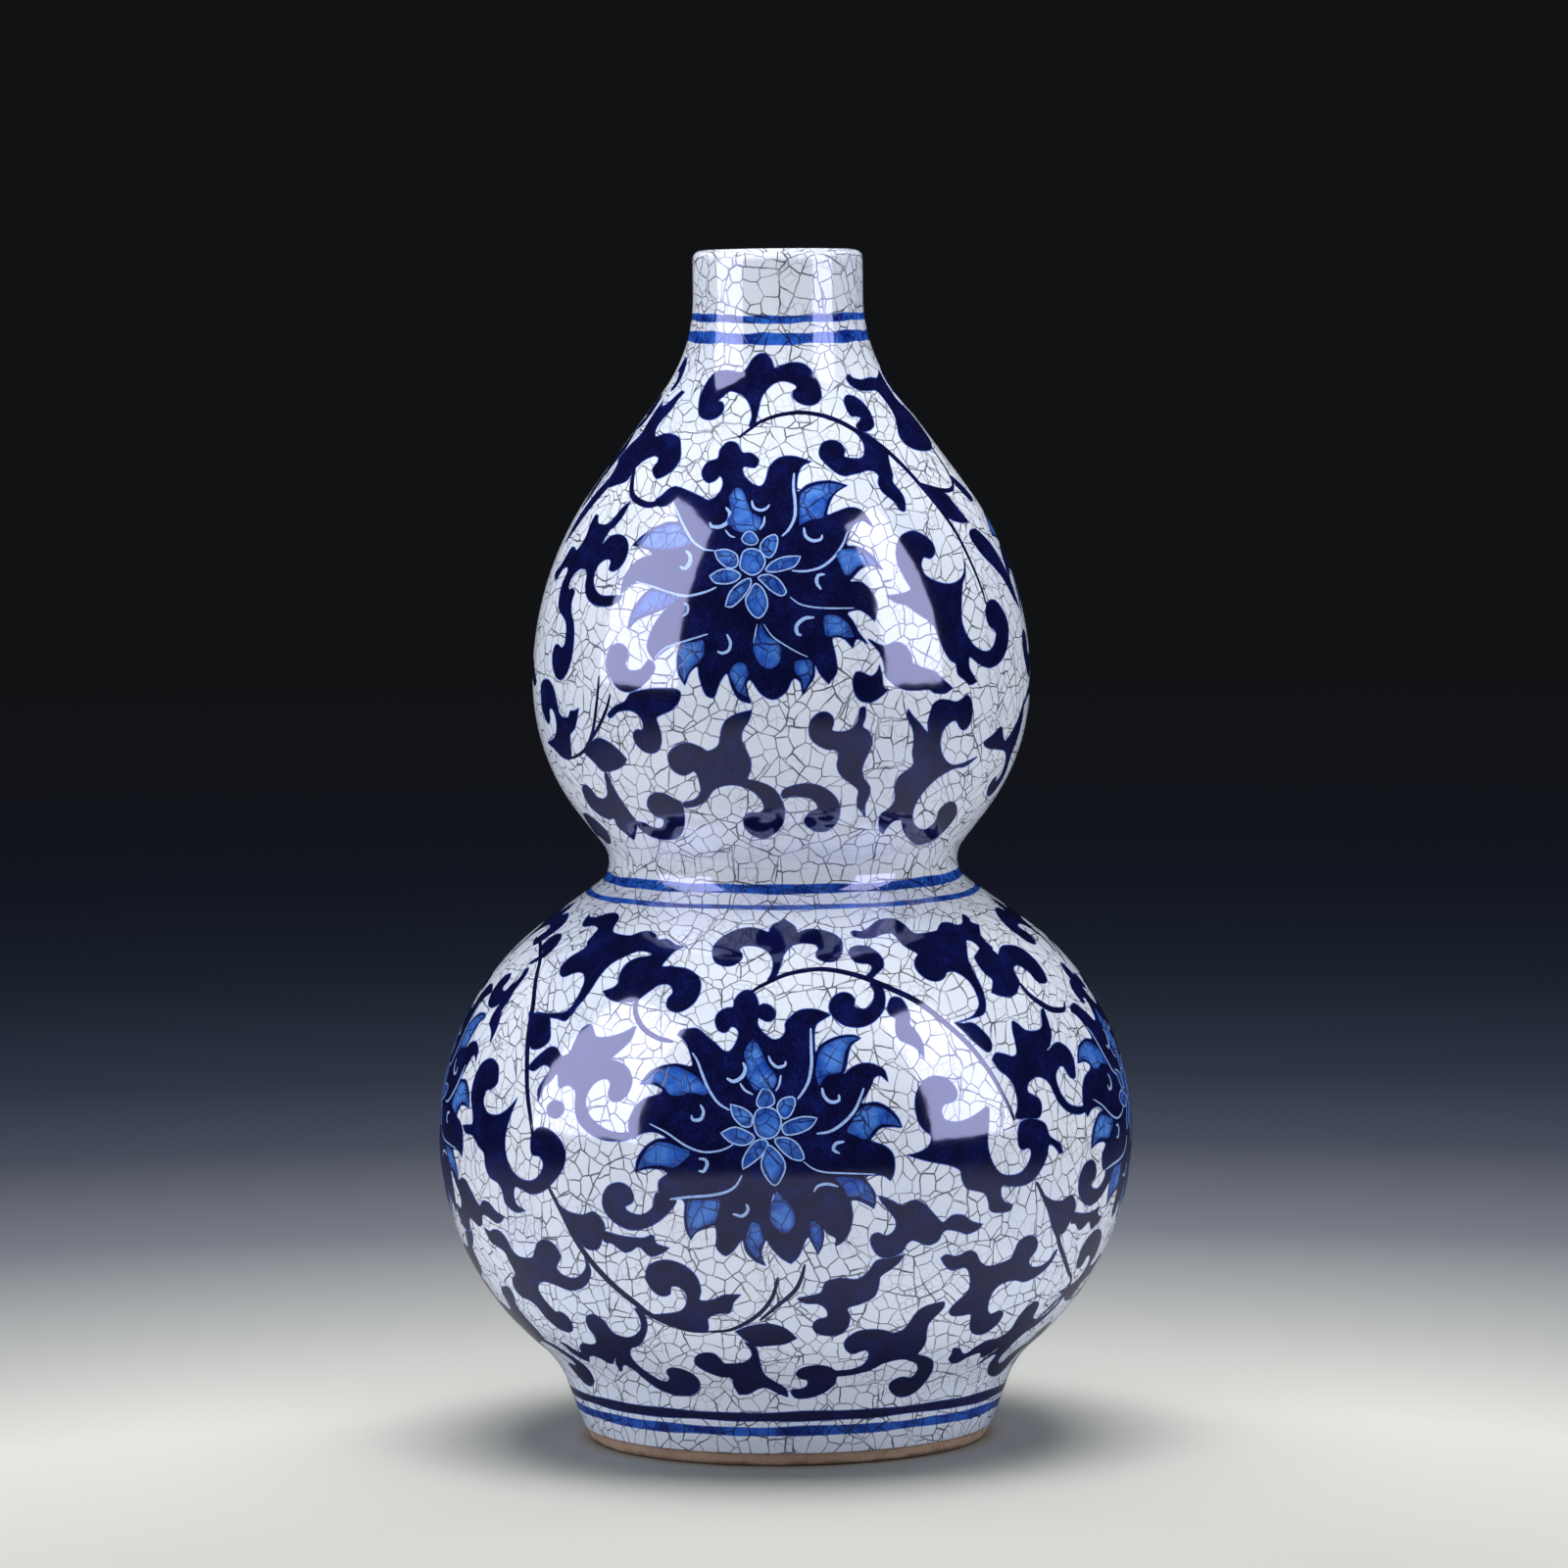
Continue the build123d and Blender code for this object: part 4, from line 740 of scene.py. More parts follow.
def motif_shapes(face, sizes, level, paint, text, turns):
    """One part of the painting with the rims round its outlines, at each of its turns."""
    ring = face.climb(level)
    flat = math.radians(1) * face.radius(ring)
    shapes = []
    for width, points, sharp in read_shapes(text):
        around = smooth_outline(points * (flat, 1.0), sharp, width is None, sizes.outline_step / MM)
        around = np.stack([around[:, 0] / flat, around[:, 1] + ring], 1)
        local = math.radians(1) * face.radius(around[:, 1])
        path = np.stack([around[:, 0] * local, around[:, 1]], 1)
        outlines = [(paint, brush_line(path, width) if width else path)]
        if text in (UPPER_ROSETTE, LOWER_ROSETTE):
            outlines.append((PALE, grown(path, sizes.pale_rim / MM)))
        elif paint == WASH:
            outlines.append((COBALT, grown(path, sizes.wash_rim / MM)))
        elif paint == COBALT and width is None:
            outlines.append((BLEED, grown(path, sizes.bleed / MM)))
        for kind, line in outlines:
            degrees = line[:, 0] / (math.radians(1) * face.radius(line[:, 1]))
            shapes += [(kind, np.stack([degrees + turn, line[:, 1]], 1)) for turn in turns]
    return shapes


def painted_shapes(face, sizes):
    """Every painted outline as (paint, points in degrees and length along the face), topmost last."""
    shapes = band_shapes(face, sizes.bleed / MM)
    for part in PAINTING:
        shapes += motif_shapes(face, sizes, *part)
    shapes.sort(key=lambda shape: shape[0])
    return wrapped(shapes)


def wrapped(shapes):
    """The shapes, with a copy a whole turn on of each that crosses the back."""
    made = []
    for paint, line in shapes:
        for turn in (-360.0, 0.0, 360.0):
            moved = line + (turn, 0.0)
            whole_turn = np.ptp(line[:, 0]) > 360.0
            if whole_turn and turn:
                continue
            if moved[:, 0].max() > -180.0 and moved[:, 0].min() < 180.0:
                made.append((paint, moved))
    return made


def inside(line, x, y):
    """Which of the points lie inside a closed outline."""
    found = np.zeros(len(x), bool)
    low, high = line.min(axis=0), line.max(axis=0)
    near = np.nonzero((x > low[0]) & (x < high[0]) & (y > low[1]) & (y < high[1]))[0]
    if not len(near):
        return found
    start, end = line, np.roll(line, -1, axis=0)
    px, py = x[near, None], y[near, None]
    crosses = (start[:, 1] > py) != (end[:, 1] > py)
    rise = np.where(end[:, 1] == start[:, 1], 1.0, end[:, 1] - start[:, 1])
    meets = start[:, 0] + (py - start[:, 1]) * (end[:, 0] - start[:, 0]) / rise
    found[near] = (crosses & (px < meets)).sum(axis=1) % 2 == 1
    return found


# Millimetres that one degree counts for while the unrolled glaze is cut into triangles, how far the
# lattice keeps from an outline, and how close points are made one
DEGREE, OUTLINE_CLEARANCE, WELD = 1.2, 0.45, 1e-4

# How close in degrees or millimetres a point lies to the edge that it is on
CLOSE = 1e-3

# Rings of points on the glaze's rounded lower edge, on the lip and on the back, and how far above the bare
# band the back begins
EDGE_RINGS, LIP_RINGS, BACK_RINGS, BACK_START = 5, 17, 60, 2.0

# Share of the unrolled map's height that the face takes
FACE_SHARE = 0.95


def glaze_grid(face, columns, ring_step):
    """Lattice of the unrolled glaze: angles, lengths along the face (closer at its rounded ends)."""
    angles = np.linspace(-180.0, 180.0, columns + 1)
    bead = GLAZE * math.pi / 2
    lip = face.length - math.pi * (WALL / 2 + GLAZE)
    middle = np.linspace(bead, lip, int((lip - bead) / ring_step) + 1)
    edge_rings = np.linspace(0, bead, EDGE_RINGS)[:-1]
    lip_rings = np.linspace(lip, face.length, LIP_RINGS)[1:]
    return angles, np.concatenate([edge_rings, middle, lip_rings])


def cut_glaze(face, shapes, columns, ring_step):
    """Triangles of the unrolled glaze, cut along every painted outline: points and corners."""
    angles, rings = glaze_grid(face, columns, ring_step)
    points = []
    edges = []

    def chain(line, closed):
        first = len(points)
        points.extend(Vector((x * DEGREE, y)) for x, y in line)
        edges.extend((first + i, first + i + 1) for i in range(len(line) - 1))
        if closed:
            edges.append((first + len(line) - 1, first))

    for _, line in shapes:
        chain(line, True)
    outline_tree = kdtree.KDTree(len(points))
    for i, point in enumerate(points):
        outline_tree.insert((point.x, point.y, 0), i)
    outline_tree.balance()

    low, high = rings[0], rings[-1]
    chain([(a, low) for a in angles], False)
    chain([(a, high) for a in angles], False)
    chain([(angles[0], s) for s in rings], False)
    chain([(angles[-1], s) for s in rings], False)
    for along in rings[1:-1]:
        for angle in angles[1:-1]:
            spot = (angle * DEGREE, along, 0)
            if outline_tree.find(spot)[2] > OUTLINE_CLEARANCE:
                points.append(Vector(spot[:2]))
    made = geometry.delaunay_2d_cdt(points, edges, [], 0, WELD, False)
    flat = np.array([tuple(p) for p in made[0]]) / (DEGREE, 1.0)
    corners = np.array(made[2])
    middle = flat[corners].mean(axis=1)
    keep = np.abs(middle[:, 0]) < 180.0
    return flat, corners[keep], middle[keep]


def paint_faces(shapes, middle):
    """Kind of paint of each face, by the topmost outline that its middle lies in."""
    paint = np.full(len(middle), float(BARE))
    for kind, line in shapes:
        paint[inside(line, middle[:, 0], middle[:, 1])] = kind
    return paint


def edge_distance(places, shapes, face):
    """Distance in millimetres from each point to the nearest painted outline."""
    rim = np.concatenate([face.place(line[:, 0], line[:, 1])[0] for _, line in shapes])
    tree = kdtree.KDTree(len(rim))
    for i, spot in enumerate(rim):
        tree.insert(spot, i)
    tree.balance()
    return np.array([tree.find(spot)[2] for spot in places]) / MM


def closed_seam(flat, corners):
    """Joins the unrolled face's right edge to its left one: points still used, corners as their numbers."""
    left = np.nonzero(np.abs(flat[:, 0] + 180.0) < CLOSE)[0]
    right = np.nonzero(np.abs(flat[:, 0] - 180.0) < CLOSE)[0]
    match = np.abs(flat[right, 1][:, None] - flat[left, 1]).argmin(axis=1)
    partner = np.arange(len(flat))
    partner[right] = left[match]
    used, joined = np.unique(partner[corners], return_inverse=True)
    return used, joined.reshape(corners.shape)


def end_ring(flat, angles, along):
    """Numbers of the face's points round its lower or upper end, one at each angle."""
    at_end = np.nonzero(np.abs(flat[:, 1] - along) < CLOSE)[0]
    nearest = np.abs(flat[at_end, 0][None, :] - angles[:, None]).argmin(axis=1)
    return at_end[nearest]


def coat_back(angles, first):
    """Back of the coat, rising to the lip: places, normals into the clay, rings of numbers from the first."""
    back = glaze_back()
    columns = len(angles)
    places = []
    normals = []
    rings = []
    for along in np.linspace(back.climb(BARE_BAND + BACK_START), back.length, BACK_RINGS):
        spots, outward = back.place(angles, np.full(columns, along))
        rings.append(first + len(rings) * columns + np.arange(columns))
        places.append(spots)
        normals.append(-outward)
    return np.concatenate(places), np.concatenate(normals), rings


def ring_quads(rings):
    """Faces between each ring of points and the next."""
    quads = []
    for lower, upper in zip(rings, rings[1:]):
        quads.append(np.stack([lower, upper, np.roll(upper, -1), np.roll(lower, -1)], 1))
    return np.concatenate(quads)


def unrolled_map(flat, corners, length, columns, bands):
    """Map for the baked pictures: the face, and the bands of the hidden back squeezed in above it."""
    face_map = np.stack([flat[:, 0] / 360.0 + 0.5, flat[:, 1] / length * FACE_SHARE], 1)[corners]
    turn = np.arange(columns) / columns
    ahead = turn + 1 / columns
    step = (1 - FACE_SHARE) / (bands + 1)
    back_map = []
    for i in range(bands):
        low, high = FACE_SHARE + step * (i + 0.5), FACE_SHARE + step * (i + 1)
        rows = [(turn, low), (turn, high), (ahead, high), (ahead, low)]
        back_map.append(np.stack([np.stack([u, np.full(columns, v)], 1) for u, v in rows], 1))
    return np.concatenate([face_map.reshape(-1, 2), np.concatenate(back_map).reshape(-1, 2)])


def glaze_mesh(name, sizes):
    """The outer glaze as a closed coat: painted face, lip, and back against the clay."""
    face = glaze_face()
    columns = sizes.columns
    shapes = painted_shapes(face, sizes)
    flat, corners, middle = cut_glaze(face, shapes, columns, sizes.ring_step / MM)
    used, joined = closed_seam(flat, corners)
    kept = flat[used]
    face_places, face_normals = face.place(kept[:, 0], kept[:, 1])

    angles = np.linspace(-180.0, 180.0, columns + 1)[:-1]
    back_places, back_normals, back_rings = coat_back(angles, len(kept))
    rings = [end_ring(kept, angles, 0.0), *back_rings, end_ring(kept, angles, face.length)]
    quads = ring_quads(rings)
    places = np.concatenate([face_places, back_places])
    normals = np.concatenate([face_normals, back_normals])

    mesh = bpy.data.meshes.new(name)
    mesh.from_pydata(places.tolist(), [], joined.tolist() + quads.tolist())
    paint = np.concatenate([paint_faces(shapes, middle), np.full(len(quads), float(BARE))])
    along = np.concatenate([kept[:, 1] * MM, np.zeros(len(back_places))])
    edge = edge_distance(places, shapes, face)
    attributes = (("paint", "FACE", paint), ("along", "POINT", along), ("edge", "POINT", edge))
    for kind, domain, values in attributes:
        mesh.attributes.new(kind, "FLOAT", domain).data.foreach_set("value", values)
    unrolled = unrolled_map(flat, corners, face.length, columns, len(rings) - 1)
    mesh.uv_layers.new(name="OFBake").data.foreach_set("uv", unrolled.ravel())
    mesh.shade_smooth()
    mesh.normals_split_custom_set_from_vertices(normals.tolist())
    return mesh


# Shader nodes


def shade(red, green, blue):
    """A colour written 0 to 255 as on a screen, as the linear values that shaders take."""
    levels = [part / 255 for part in (red, green, blue)]
    linear = [v / 12.92 if v <= 0.04045 else ((v + 0.055) / 1.055) ** 2.4 for v in levels]
    return (*linear, 1.0)


def put(tree, kind, values=None, **options):
    """Adds a node; options are its settings, values its inputs or what is linked to them."""
    made = tree.nodes.new(kind)
    for option, choice in options.items():
        setattr(made, option, choice)
    for key, value in (values or {}).items():
        if isinstance(value, bpy.types.NodeSocket):
            tree.links.new(value, made.inputs[key])
        else:
            made.inputs[key].default_value = value
    return made


def maths(tree, operation, *terms):
    """Result of a Math node."""
    return put(tree, "ShaderNodeMath", dict(enumerate(terms)), operation=operation).outputs[0]


def vectors(tree, operation, *terms, **named):
    """Vector result of a Vector Math node."""
    values = {**dict(enumerate(terms)), **named}
    return put(tree, "ShaderNodeVectorMath", values, operation=operation).outputs[0]


def blend(tree, first, second, share):
    """A share of the first value, and the rest of the second."""
    kept = maths(tree, "MULTIPLY", first, share)
    rest = maths(tree, "MULTIPLY", second, 1 - share)
    return maths(tree, "ADD", kept, rest)


def mix(tree, factor, first, second):
    """First colour, covered by the second by the factor."""
    return put(tree, "ShaderNodeMix", {0: factor, 6: first, 7: second}, data_type="RGBA").outputs[2]


def ramp(tree, value, low, high, start=0.0, end=1.0):
    """Smooth step of a value from start to end between low and high."""
    values = {"Value": value, "From Min": low, "From Max": high, "To Min": start, "To Max": end}
    return put(tree, "ShaderNodeMapRange", values, interpolation_type="SMOOTHSTEP").outputs[0]


def noise(tree, vector, scale, detail=2.0, rough=0.5, **options):
    """Grey value of a Noise texture."""
    values = {"Vector": vector, "Scale": scale, "Detail": detail, "Roughness": rough}
    return put(tree, "ShaderNodeTexNoise", values, **options).outputs[0]


def new_group(name, inputs, outputs):
    """An empty node group with its sockets: tree, its inputs by name, and its output node."""
    tree = bpy.data.node_groups.new(name, "ShaderNodeTree")
    for socket, kind, value in inputs:
        made = tree.interface.new_socket(socket, in_out="INPUT", socket_type=kind)
        if value is not None:
            made.default_value = value
    for socket, kind in outputs:
        tree.interface.new_socket(socket, in_out="OUTPUT", socket_type=kind)
    given = tree.nodes.new("NodeGroupInput").outputs
    return tree, given, tree.nodes.new("NodeGroupOutput")


def use_group(tree, name, values):
    """Outputs of a node group put into a tree."""
    return put(tree, "ShaderNodeGroup", values, node_tree=bpy.data.node_groups[name]).outputs


FLOAT, VECTOR, COLOR = "NodeSocketFloat", "NodeSocketVector", "NodeSocketColor"
CRACKLE = "Crackle"
CLAY_GRAIN = "Clay Grain"

# The crackle lies in gores round the vase, whose edges sway by a share of a gore's width. Patterns of
# different gores and blocks come from places this many cells apart.
GORES = 3
GORE_ANGLE = 2 * math.pi / GORES
GORE_SWAY_SHARE = 0.24
GORES_APART, BLOCKS_APART = 61.3, 43.0

# Nets of cracks as (scale, randomness, crack width): blocks, bricks within a block, fine cells in places
BLOCK_NET, BRICK_NET, FINE_NET = (0.4, 0.9, 0.46), (0.95, 0.72, 0.95), (1.8, 0.9, 1.3)

# Range in radians over which blocks lean, the stretch of their bricks, and how far the nets are bent
BLOCK_LEAN, BRICK_STRETCH, NET_BEND = 1.1, (1.12, 0.92, 1.0), 0.3

# A crack is full up to the first share of its half width and gone at the second
CRACK_CORE_SHARE, CRACK_END_SHARE = 0.45, 1.5


def gore_layout(tree, given):
    """Place on the unrolled gores, and distance from the nearest edge of a gore, both in cells."""
    cell = given["Cell Size"]
    part = put(tree, "ShaderNodeSeparateXYZ", {0: given["Position"]}).outputs
    angle = maths(tree, "ARCTAN2", part[0], maths(tree, "MULTIPLY", part[1], -1.0))
    squares = [maths(tree, "POWER", part[axis], 2.0) for axis in (0, 1)]
    radius = maths(tree, "SQRT", maths(tree, "ADD", *squares))
    climb = maths(tree, "DIVIDE", given["Along"], cell)

    values = {"W": climb, "Scale": 0.45, "Detail": 3.0}
    sway = put(tree, "ShaderNodeTexNoise", values, noise_dimensions="1D").outputs[0]
    sway = maths(tree, "MULTIPLY_ADD", sway, GORE_SWAY_SHARE, -GORE_SWAY_SHARE / 2)
    turn = maths(tree, "ADD", maths(tree, "DIVIDE", angle, GORE_ANGLE), sway)
    which = maths(tree, "ROUND", turn)
    local = maths(tree, "SUBTRACT", angle, maths(tree, "MULTIPLY", which, GORE_ANGLE))
    across = maths(tree, "DIVIDE", maths(tree, "MULTIPLY", local, radius), cell)
    island = maths(tree, "FLOORED_MODULO", which, float(GORES))
    across = maths(tree, "ADD", across, maths(tree, "MULTIPLY", island, GORES_APART))
    spot = put(tree, "ShaderNodeCombineXYZ", {0: across, 1: climb}).outputs[0]

    off_middle = maths(tree, "ABSOLUTE", maths(tree, "SUBTRACT", turn, which))
    width = maths(tree, "DIVIDE", maths(tree, "MULTIPLY", radius, GORE_ANGLE), cell)
    return spot, maths(tree, "MULTIPLY", maths(tree, "SUBTRACT", 0.5, off_middle), width)


def crackle_group():
    """Fine net of cracks in a turned glaze, laid out in gores so that its cells keep their size."""
    if CRACKLE in bpy.data.node_groups:
        return
    inputs = [
        ("Position", VECTOR, None),
        ("Along", FLOAT, 0.0),
        ("Cell Size", FLOAT, 0.006),
        ("Line Width", FLOAT, 0.0003),
    ]
    tree, given, result = new_group(CRACKLE, inputs, [("Crack", FLOAT)])
    spot, gore_edge = gore_layout(tree, given)
    values = {"Vector": spot, "Scale": 0.9, "Detail": 2.0}
    warp = put(tree, "ShaderNodeTexNoise", values, noise_dimensions="2D").outputs["Color"]
    warp = vectors(tree, "SUBTRACT", warp, (0.5, 0.5, 0.5))
    bent = vectors(tree, "ADD", spot, vectors(tree, "SCALE", warp, Scale=NET_BEND))

    vary = noise(tree, spot, 0.55, noise_dimensions="2D")
    half = maths(tree, "DIVIDE", given["Line Width"], maths(tree, "MULTIPLY", given["Cell Size"], 2.0))
    half = maths(tree, "MULTIPLY", half, ramp(tree, vary, low=0.3, high=0.75, start=0.75, end=1.35))

    def crack_at(distance, width):
        core = maths(tree, "MULTIPLY", half, CRACK_CORE_SHARE * width)
        end = maths(tree, "MULTIPLY", half, CRACK_END_SHARE * width)
        return ramp(tree, distance, low=core, high=end, start=1.0, end=0.0)

    def cells(vector, net, **options):
        values = {"Vector": vector, "Scale": net[0], "Randomness": net[1]}
        return put(tree, "ShaderNodeTexVoronoi", values, voronoi_dimensions="2D", **options).outputs

    def net_of_cracks(vector, net):
        return crack_at(cells(vector, net, feature="DISTANCE_TO_EDGE")["Distance"], net[2])

    block = cells(bent, BLOCK_NET)["Color"]
    draw = put(tree, "ShaderNodeSeparateColor", {0: block}).outputs[0]
    values = {"Vector": bent, "Angle": maths(tree, "MULTIPLY_ADD", draw, BLOCK_LEAN, -BLOCK_LEAN / 2)}
    leant = put(tree, "ShaderNodeVectorRotate", values, rotation_type="Z_AXIS").outputs[0]
    apart = vectors(tree, "SCALE", block, Scale=BLOCKS_APART)
    brick = vectors(tree, "MULTIPLY_ADD", leant, BRICK_STRETCH, apart)

    in_places = noise(tree, spot, 0.35, detail=1.0, noise_dimensions="2D")
    in_places = ramp(tree, in_places, low=0.5, high=0.66, start=0.0, end=0.5)
    fine = maths(tree, "MULTIPLY", net_of_cracks(brick, FINE_NET), in_places)
    crack = crack_at(gore_edge, 1.0)
    for more in (net_of_cracks(bent, BLOCK_NET), net_of_cracks(brick, BRICK_NET), fine):
        crack = maths(tree, "MAXIMUM", crack, more)
    faint = noise(tree, spot, 0.8, noise_dimensions="2D")
    faint = ramp(tree, faint, low=0.3, high=0.6, start=0.6, end=1.0)
    tree.links.new(maths(tree, "MULTIPLY", crack, faint), result.inputs["Crack"])


def new_material(name):
    """A material with an empty tree but for its shader: material, tree, shader, object coordinates."""
    material = bpy.data.materials.new(name)
    material.use_nodes = True
    tree = material.node_tree
    shader = tree.nodes["Principled BSDF"]
    where = tree.nodes.new("ShaderNodeTexCoord").outputs["Object"]
    return material, tree, shader, where


def attribute(tree, name):
    """Value of one of the piece's own attributes."""
    return put(tree, "ShaderNodeAttribute", attribute_name=name).outputs["Fac"]


def bump(tree, shader, height, distance, strength=1.0):
    """Raises the surface by a height of up to the distance."""
    made = put(tree, "ShaderNodeBump", {"Height": height, "Distance": distance, "Strength": strength})
    tree.links.new(made.outputs[0], shader.inputs["Normal"])


# Gloss of the glaze: its index of refraction, and the tint of what it mirrors
GLAZE_IOR = 2.4
GLOSS_TINT = (206, 208, 255)

# Noise scales: clouds in the glaze, its ripples, pools of the painting, its grain, and the grain of clay
CLOUD_SCALE, RIPPLE_SCALE, POOL_SCALE, BRUSH_SCALE, CLAY_SCALE = 30.0, 90.0, 160.0, 1800.0, 900.0

# Bump heights in metres: ripples of the painted glaze, cracks of the plain glaze, grain of clay
RIPPLE_HEIGHT, CRACK_HEIGHT, CLAY_HEIGHT = 0.00012, 0.00003, 0.00025

# Heights in millimetres over which the lighter, bluer glaze towards the foot, and the foot's two darker
# edges, come or go
LOWER_TINT_LEVELS, GROUND_BURN_AND_SHADE_LEVELS, GLAZE_BURN_LEVELS = (15.0, 75.0), (0.2, 1.5), (2.6, 3.6)
BURN_SWAY = 2.4

# Width in millimetres of the darker rim within a washed petal
WASH_POOL_RIM = 1.1

# How much of the cracks' stain shows in white glaze, and how much less in pale lines and dark painting
STAIN_SHARE, PALE_STAIN_LOSS_SHARE, DARK_STAIN_LOSS_SHARE = 0.95, 0.7, 0.9
PLAIN_STAIN_SHARE = 0.85

# Part of a step between two kinds of paint within which a face counts as one kind
KIND_MARGIN = 0.25


def shine(shader):
    """Gloss of a thick, slightly blue glaze."""
    shader.inputs["IOR"].default_value = GLAZE_IOR
    shader.inputs["Specular Tint"].default_value = shade(*GLOSS_TINT)


def cracks(tree, where, along, sizes):
    """The crackle at its set size."""
    crackle_group()
    values = {
        "Position": where,
        "Along": along,
        "Cell Size": sizes.crack_cell,
        "Line Width": sizes.crack_width,
    }
    return use_group(tree, CRACKLE, values)["Crack"]


def white_glaze(tree, where, colours):
    """Colour of the white glaze with its bluer clouds."""
    cloud = ramp(tree, noise(tree, where, CLOUD_SCALE, detail=3.0), low=0.35, high=0.7)
    return mix(tree, cloud, tuple(colours.glaze), tuple(colours.glaze_cool))


def paint_coats(tree, where, colours):
    """Colour of each kind of paint, from the lowest to the topmost."""
    grain = noise(tree, where, BRUSH_SCALE, detail=3.0, rough=0.65)
    pool = noise(tree, where, POOL_SCALE, detail=4.0, rough=0.6)
    streak = ramp(tree, blend(tree, pool, grain, 0.7), low=0.38, high=0.62)
    heap = ramp(tree, blend(tree, pool, grain, 0.45), low=0.45, high=0.66)
    thin = ramp(tree, pool, low=0.3, high=0.68)
    wash = mix(tree, thin, tuple(colours.wash_deep), tuple(colours.wash_light))
    rim = ramp(tree, attribute(tree, "edge"), low=0.0, high=WASH_POOL_RIM, start=0.55, end=0.0)
    return [
        (BLEED, tuple(colours.bleed)),
        (LINE, mix(tree, streak, tuple(colours.line_dark), tuple(colours.line_light))),
        (COBALT, mix(tree, heap, tuple(colours.cobalt), tuple(colours.cobalt_thin))),
        (PALE, tuple(colours.pale)),
        (WASH, mix(tree, rim, wash, tuple(colours.line_dark))),
    ]


def painted_glaze_material(colours, sizes):
    """Crackled white glaze over cobalt painting."""
    material, tree, shader, where = new_material("painted glaze")
    paint = attribute(tree, "paint")
    crack = cracks(tree, where, attribute(tree, "along"), sizes)

    def covered(kind):
        return maths(tree, "COMPARE", paint, float(kind), KIND_MARGIN)

    # Lighter, bluer glaze mixed in towards the foot
    level = put(tree, "ShaderNodeSeparateXYZ", {0: where}).outputs["Z"]
    low, high = LOWER_TINT_LEVELS
    lower_tint = ramp(tree, level, low=low * MM, high=high * MM, start=0.75, end=0.0)
    colour = mix(tree, lower_tint, white_glaze(tree, where, colours), tuple(colours.glaze_low))
    for kind, coat in paint_coats(tree, where, colours):
        colour = mix(tree, covered(kind), colour, coat)

    stain = mix(tree, covered(BARE), tuple(colours.crack_paint), tuple(colours.crack))
    shows = maths(tree, "MULTIPLY_ADD", covered(COBALT), -DARK_STAIN_LOSS_SHARE, STAIN_SHARE)
    shows = maths(tree, "MULTIPLY_ADD", covered(PALE), -PALE_STAIN_LOSS_SHARE, shows)
    amount = maths(tree, "MULTIPLY", crack, shows)
    tree.links.new(mix(tree, amount, colour, stain), shader.inputs["Base Color"])
    rough = ramp(tree, amount, low=0.0, high=1.0, start=0.07, end=0.22)
    tree.links.new(rough, shader.inputs["Roughness"])
    shine(shader)
    ripple = maths(tree, "MULTIPLY", noise(tree, where, RIPPLE_SCALE), 0.8)
    height = maths(tree, "SUBTRACT", ripple, maths(tree, "MULTIPLY", amount, 0.12))
    bump(tree, shader, height, RIPPLE_HEIGHT)
    return material


def plain_glaze_material(name, colours, sizes):
    """Crackled white glaze with no painting."""
    material, tree, shader, where = new_material(name)
    part = put(tree, "ShaderNodeSeparateXYZ", {0: where}).outputs
    flat = put(tree, "ShaderNodeCombineXYZ", {0: part[0], 1: part[1]}).outputs[0]
    radius = put(tree, "ShaderNodeVectorMath", {0: flat}, operation="LENGTH").outputs["Value"]
    crack = cracks(tree, where, maths(tree, "ADD", part[2], radius), sizes)
    stain = maths(tree, "MULTIPLY", crack, PLAIN_STAIN_SHARE)
    colour = mix(tree, stain, white_glaze(tree, where, colours), tuple(colours.crack))
    tree.links.new(colour, shader.inputs["Base Color"])
    rough = ramp(tree, crack, low=0.0, high=1.0, start=0.08, end=0.22)
    tree.links.new(rough, shader.inputs["Roughness"])
    shine(shader)
    bump(tree, shader, maths(tree, "SUBTRACT", 1.0, crack), CRACK_HEIGHT)
    return material


def clay_grain_group():
    """Speckled grain of fired clay: its colour, roughness and height."""
    if CLAY_GRAIN in bpy.data.node_groups:
        return
    inputs = [
        ("Position", VECTOR, None),
        ("Clay", COLOR, None),
        ("Speck", COLOR, None),
        ("Scale", FLOAT, CLAY_SCALE),
    ]
    outputs = [("Color", COLOR), ("Roughness", FLOAT), ("Height", FLOAT)]
    tree, given, result = new_group(CLAY_GRAIN, inputs, outputs)
    grain = noise(tree, given["Position"], given["Scale"], detail=5.0, rough=0.65)
    slow = noise(tree, given["Position"], maths(tree, "MULTIPLY", given["Scale"], 0.09), detail=3.0)
    specks = ramp(tree, grain, low=0.5, high=0.72, start=0.0, end=0.7)
    patches = ramp(tree, slow, low=0.45, high=0.75, start=0.0, end=0.35)
    amount = maths(tree, "ADD", specks, patches)
    tree.links.new(mix(tree, amount, given["Clay"], given["Speck"]), result.inputs["Color"])
    rough = ramp(tree, grain, low=0.3, high=0.7, start=0.72, end=0.95)
    tree.links.new(rough, result.inputs["Roughness"])
    tree.links.new(grain, result.inputs["Height"])


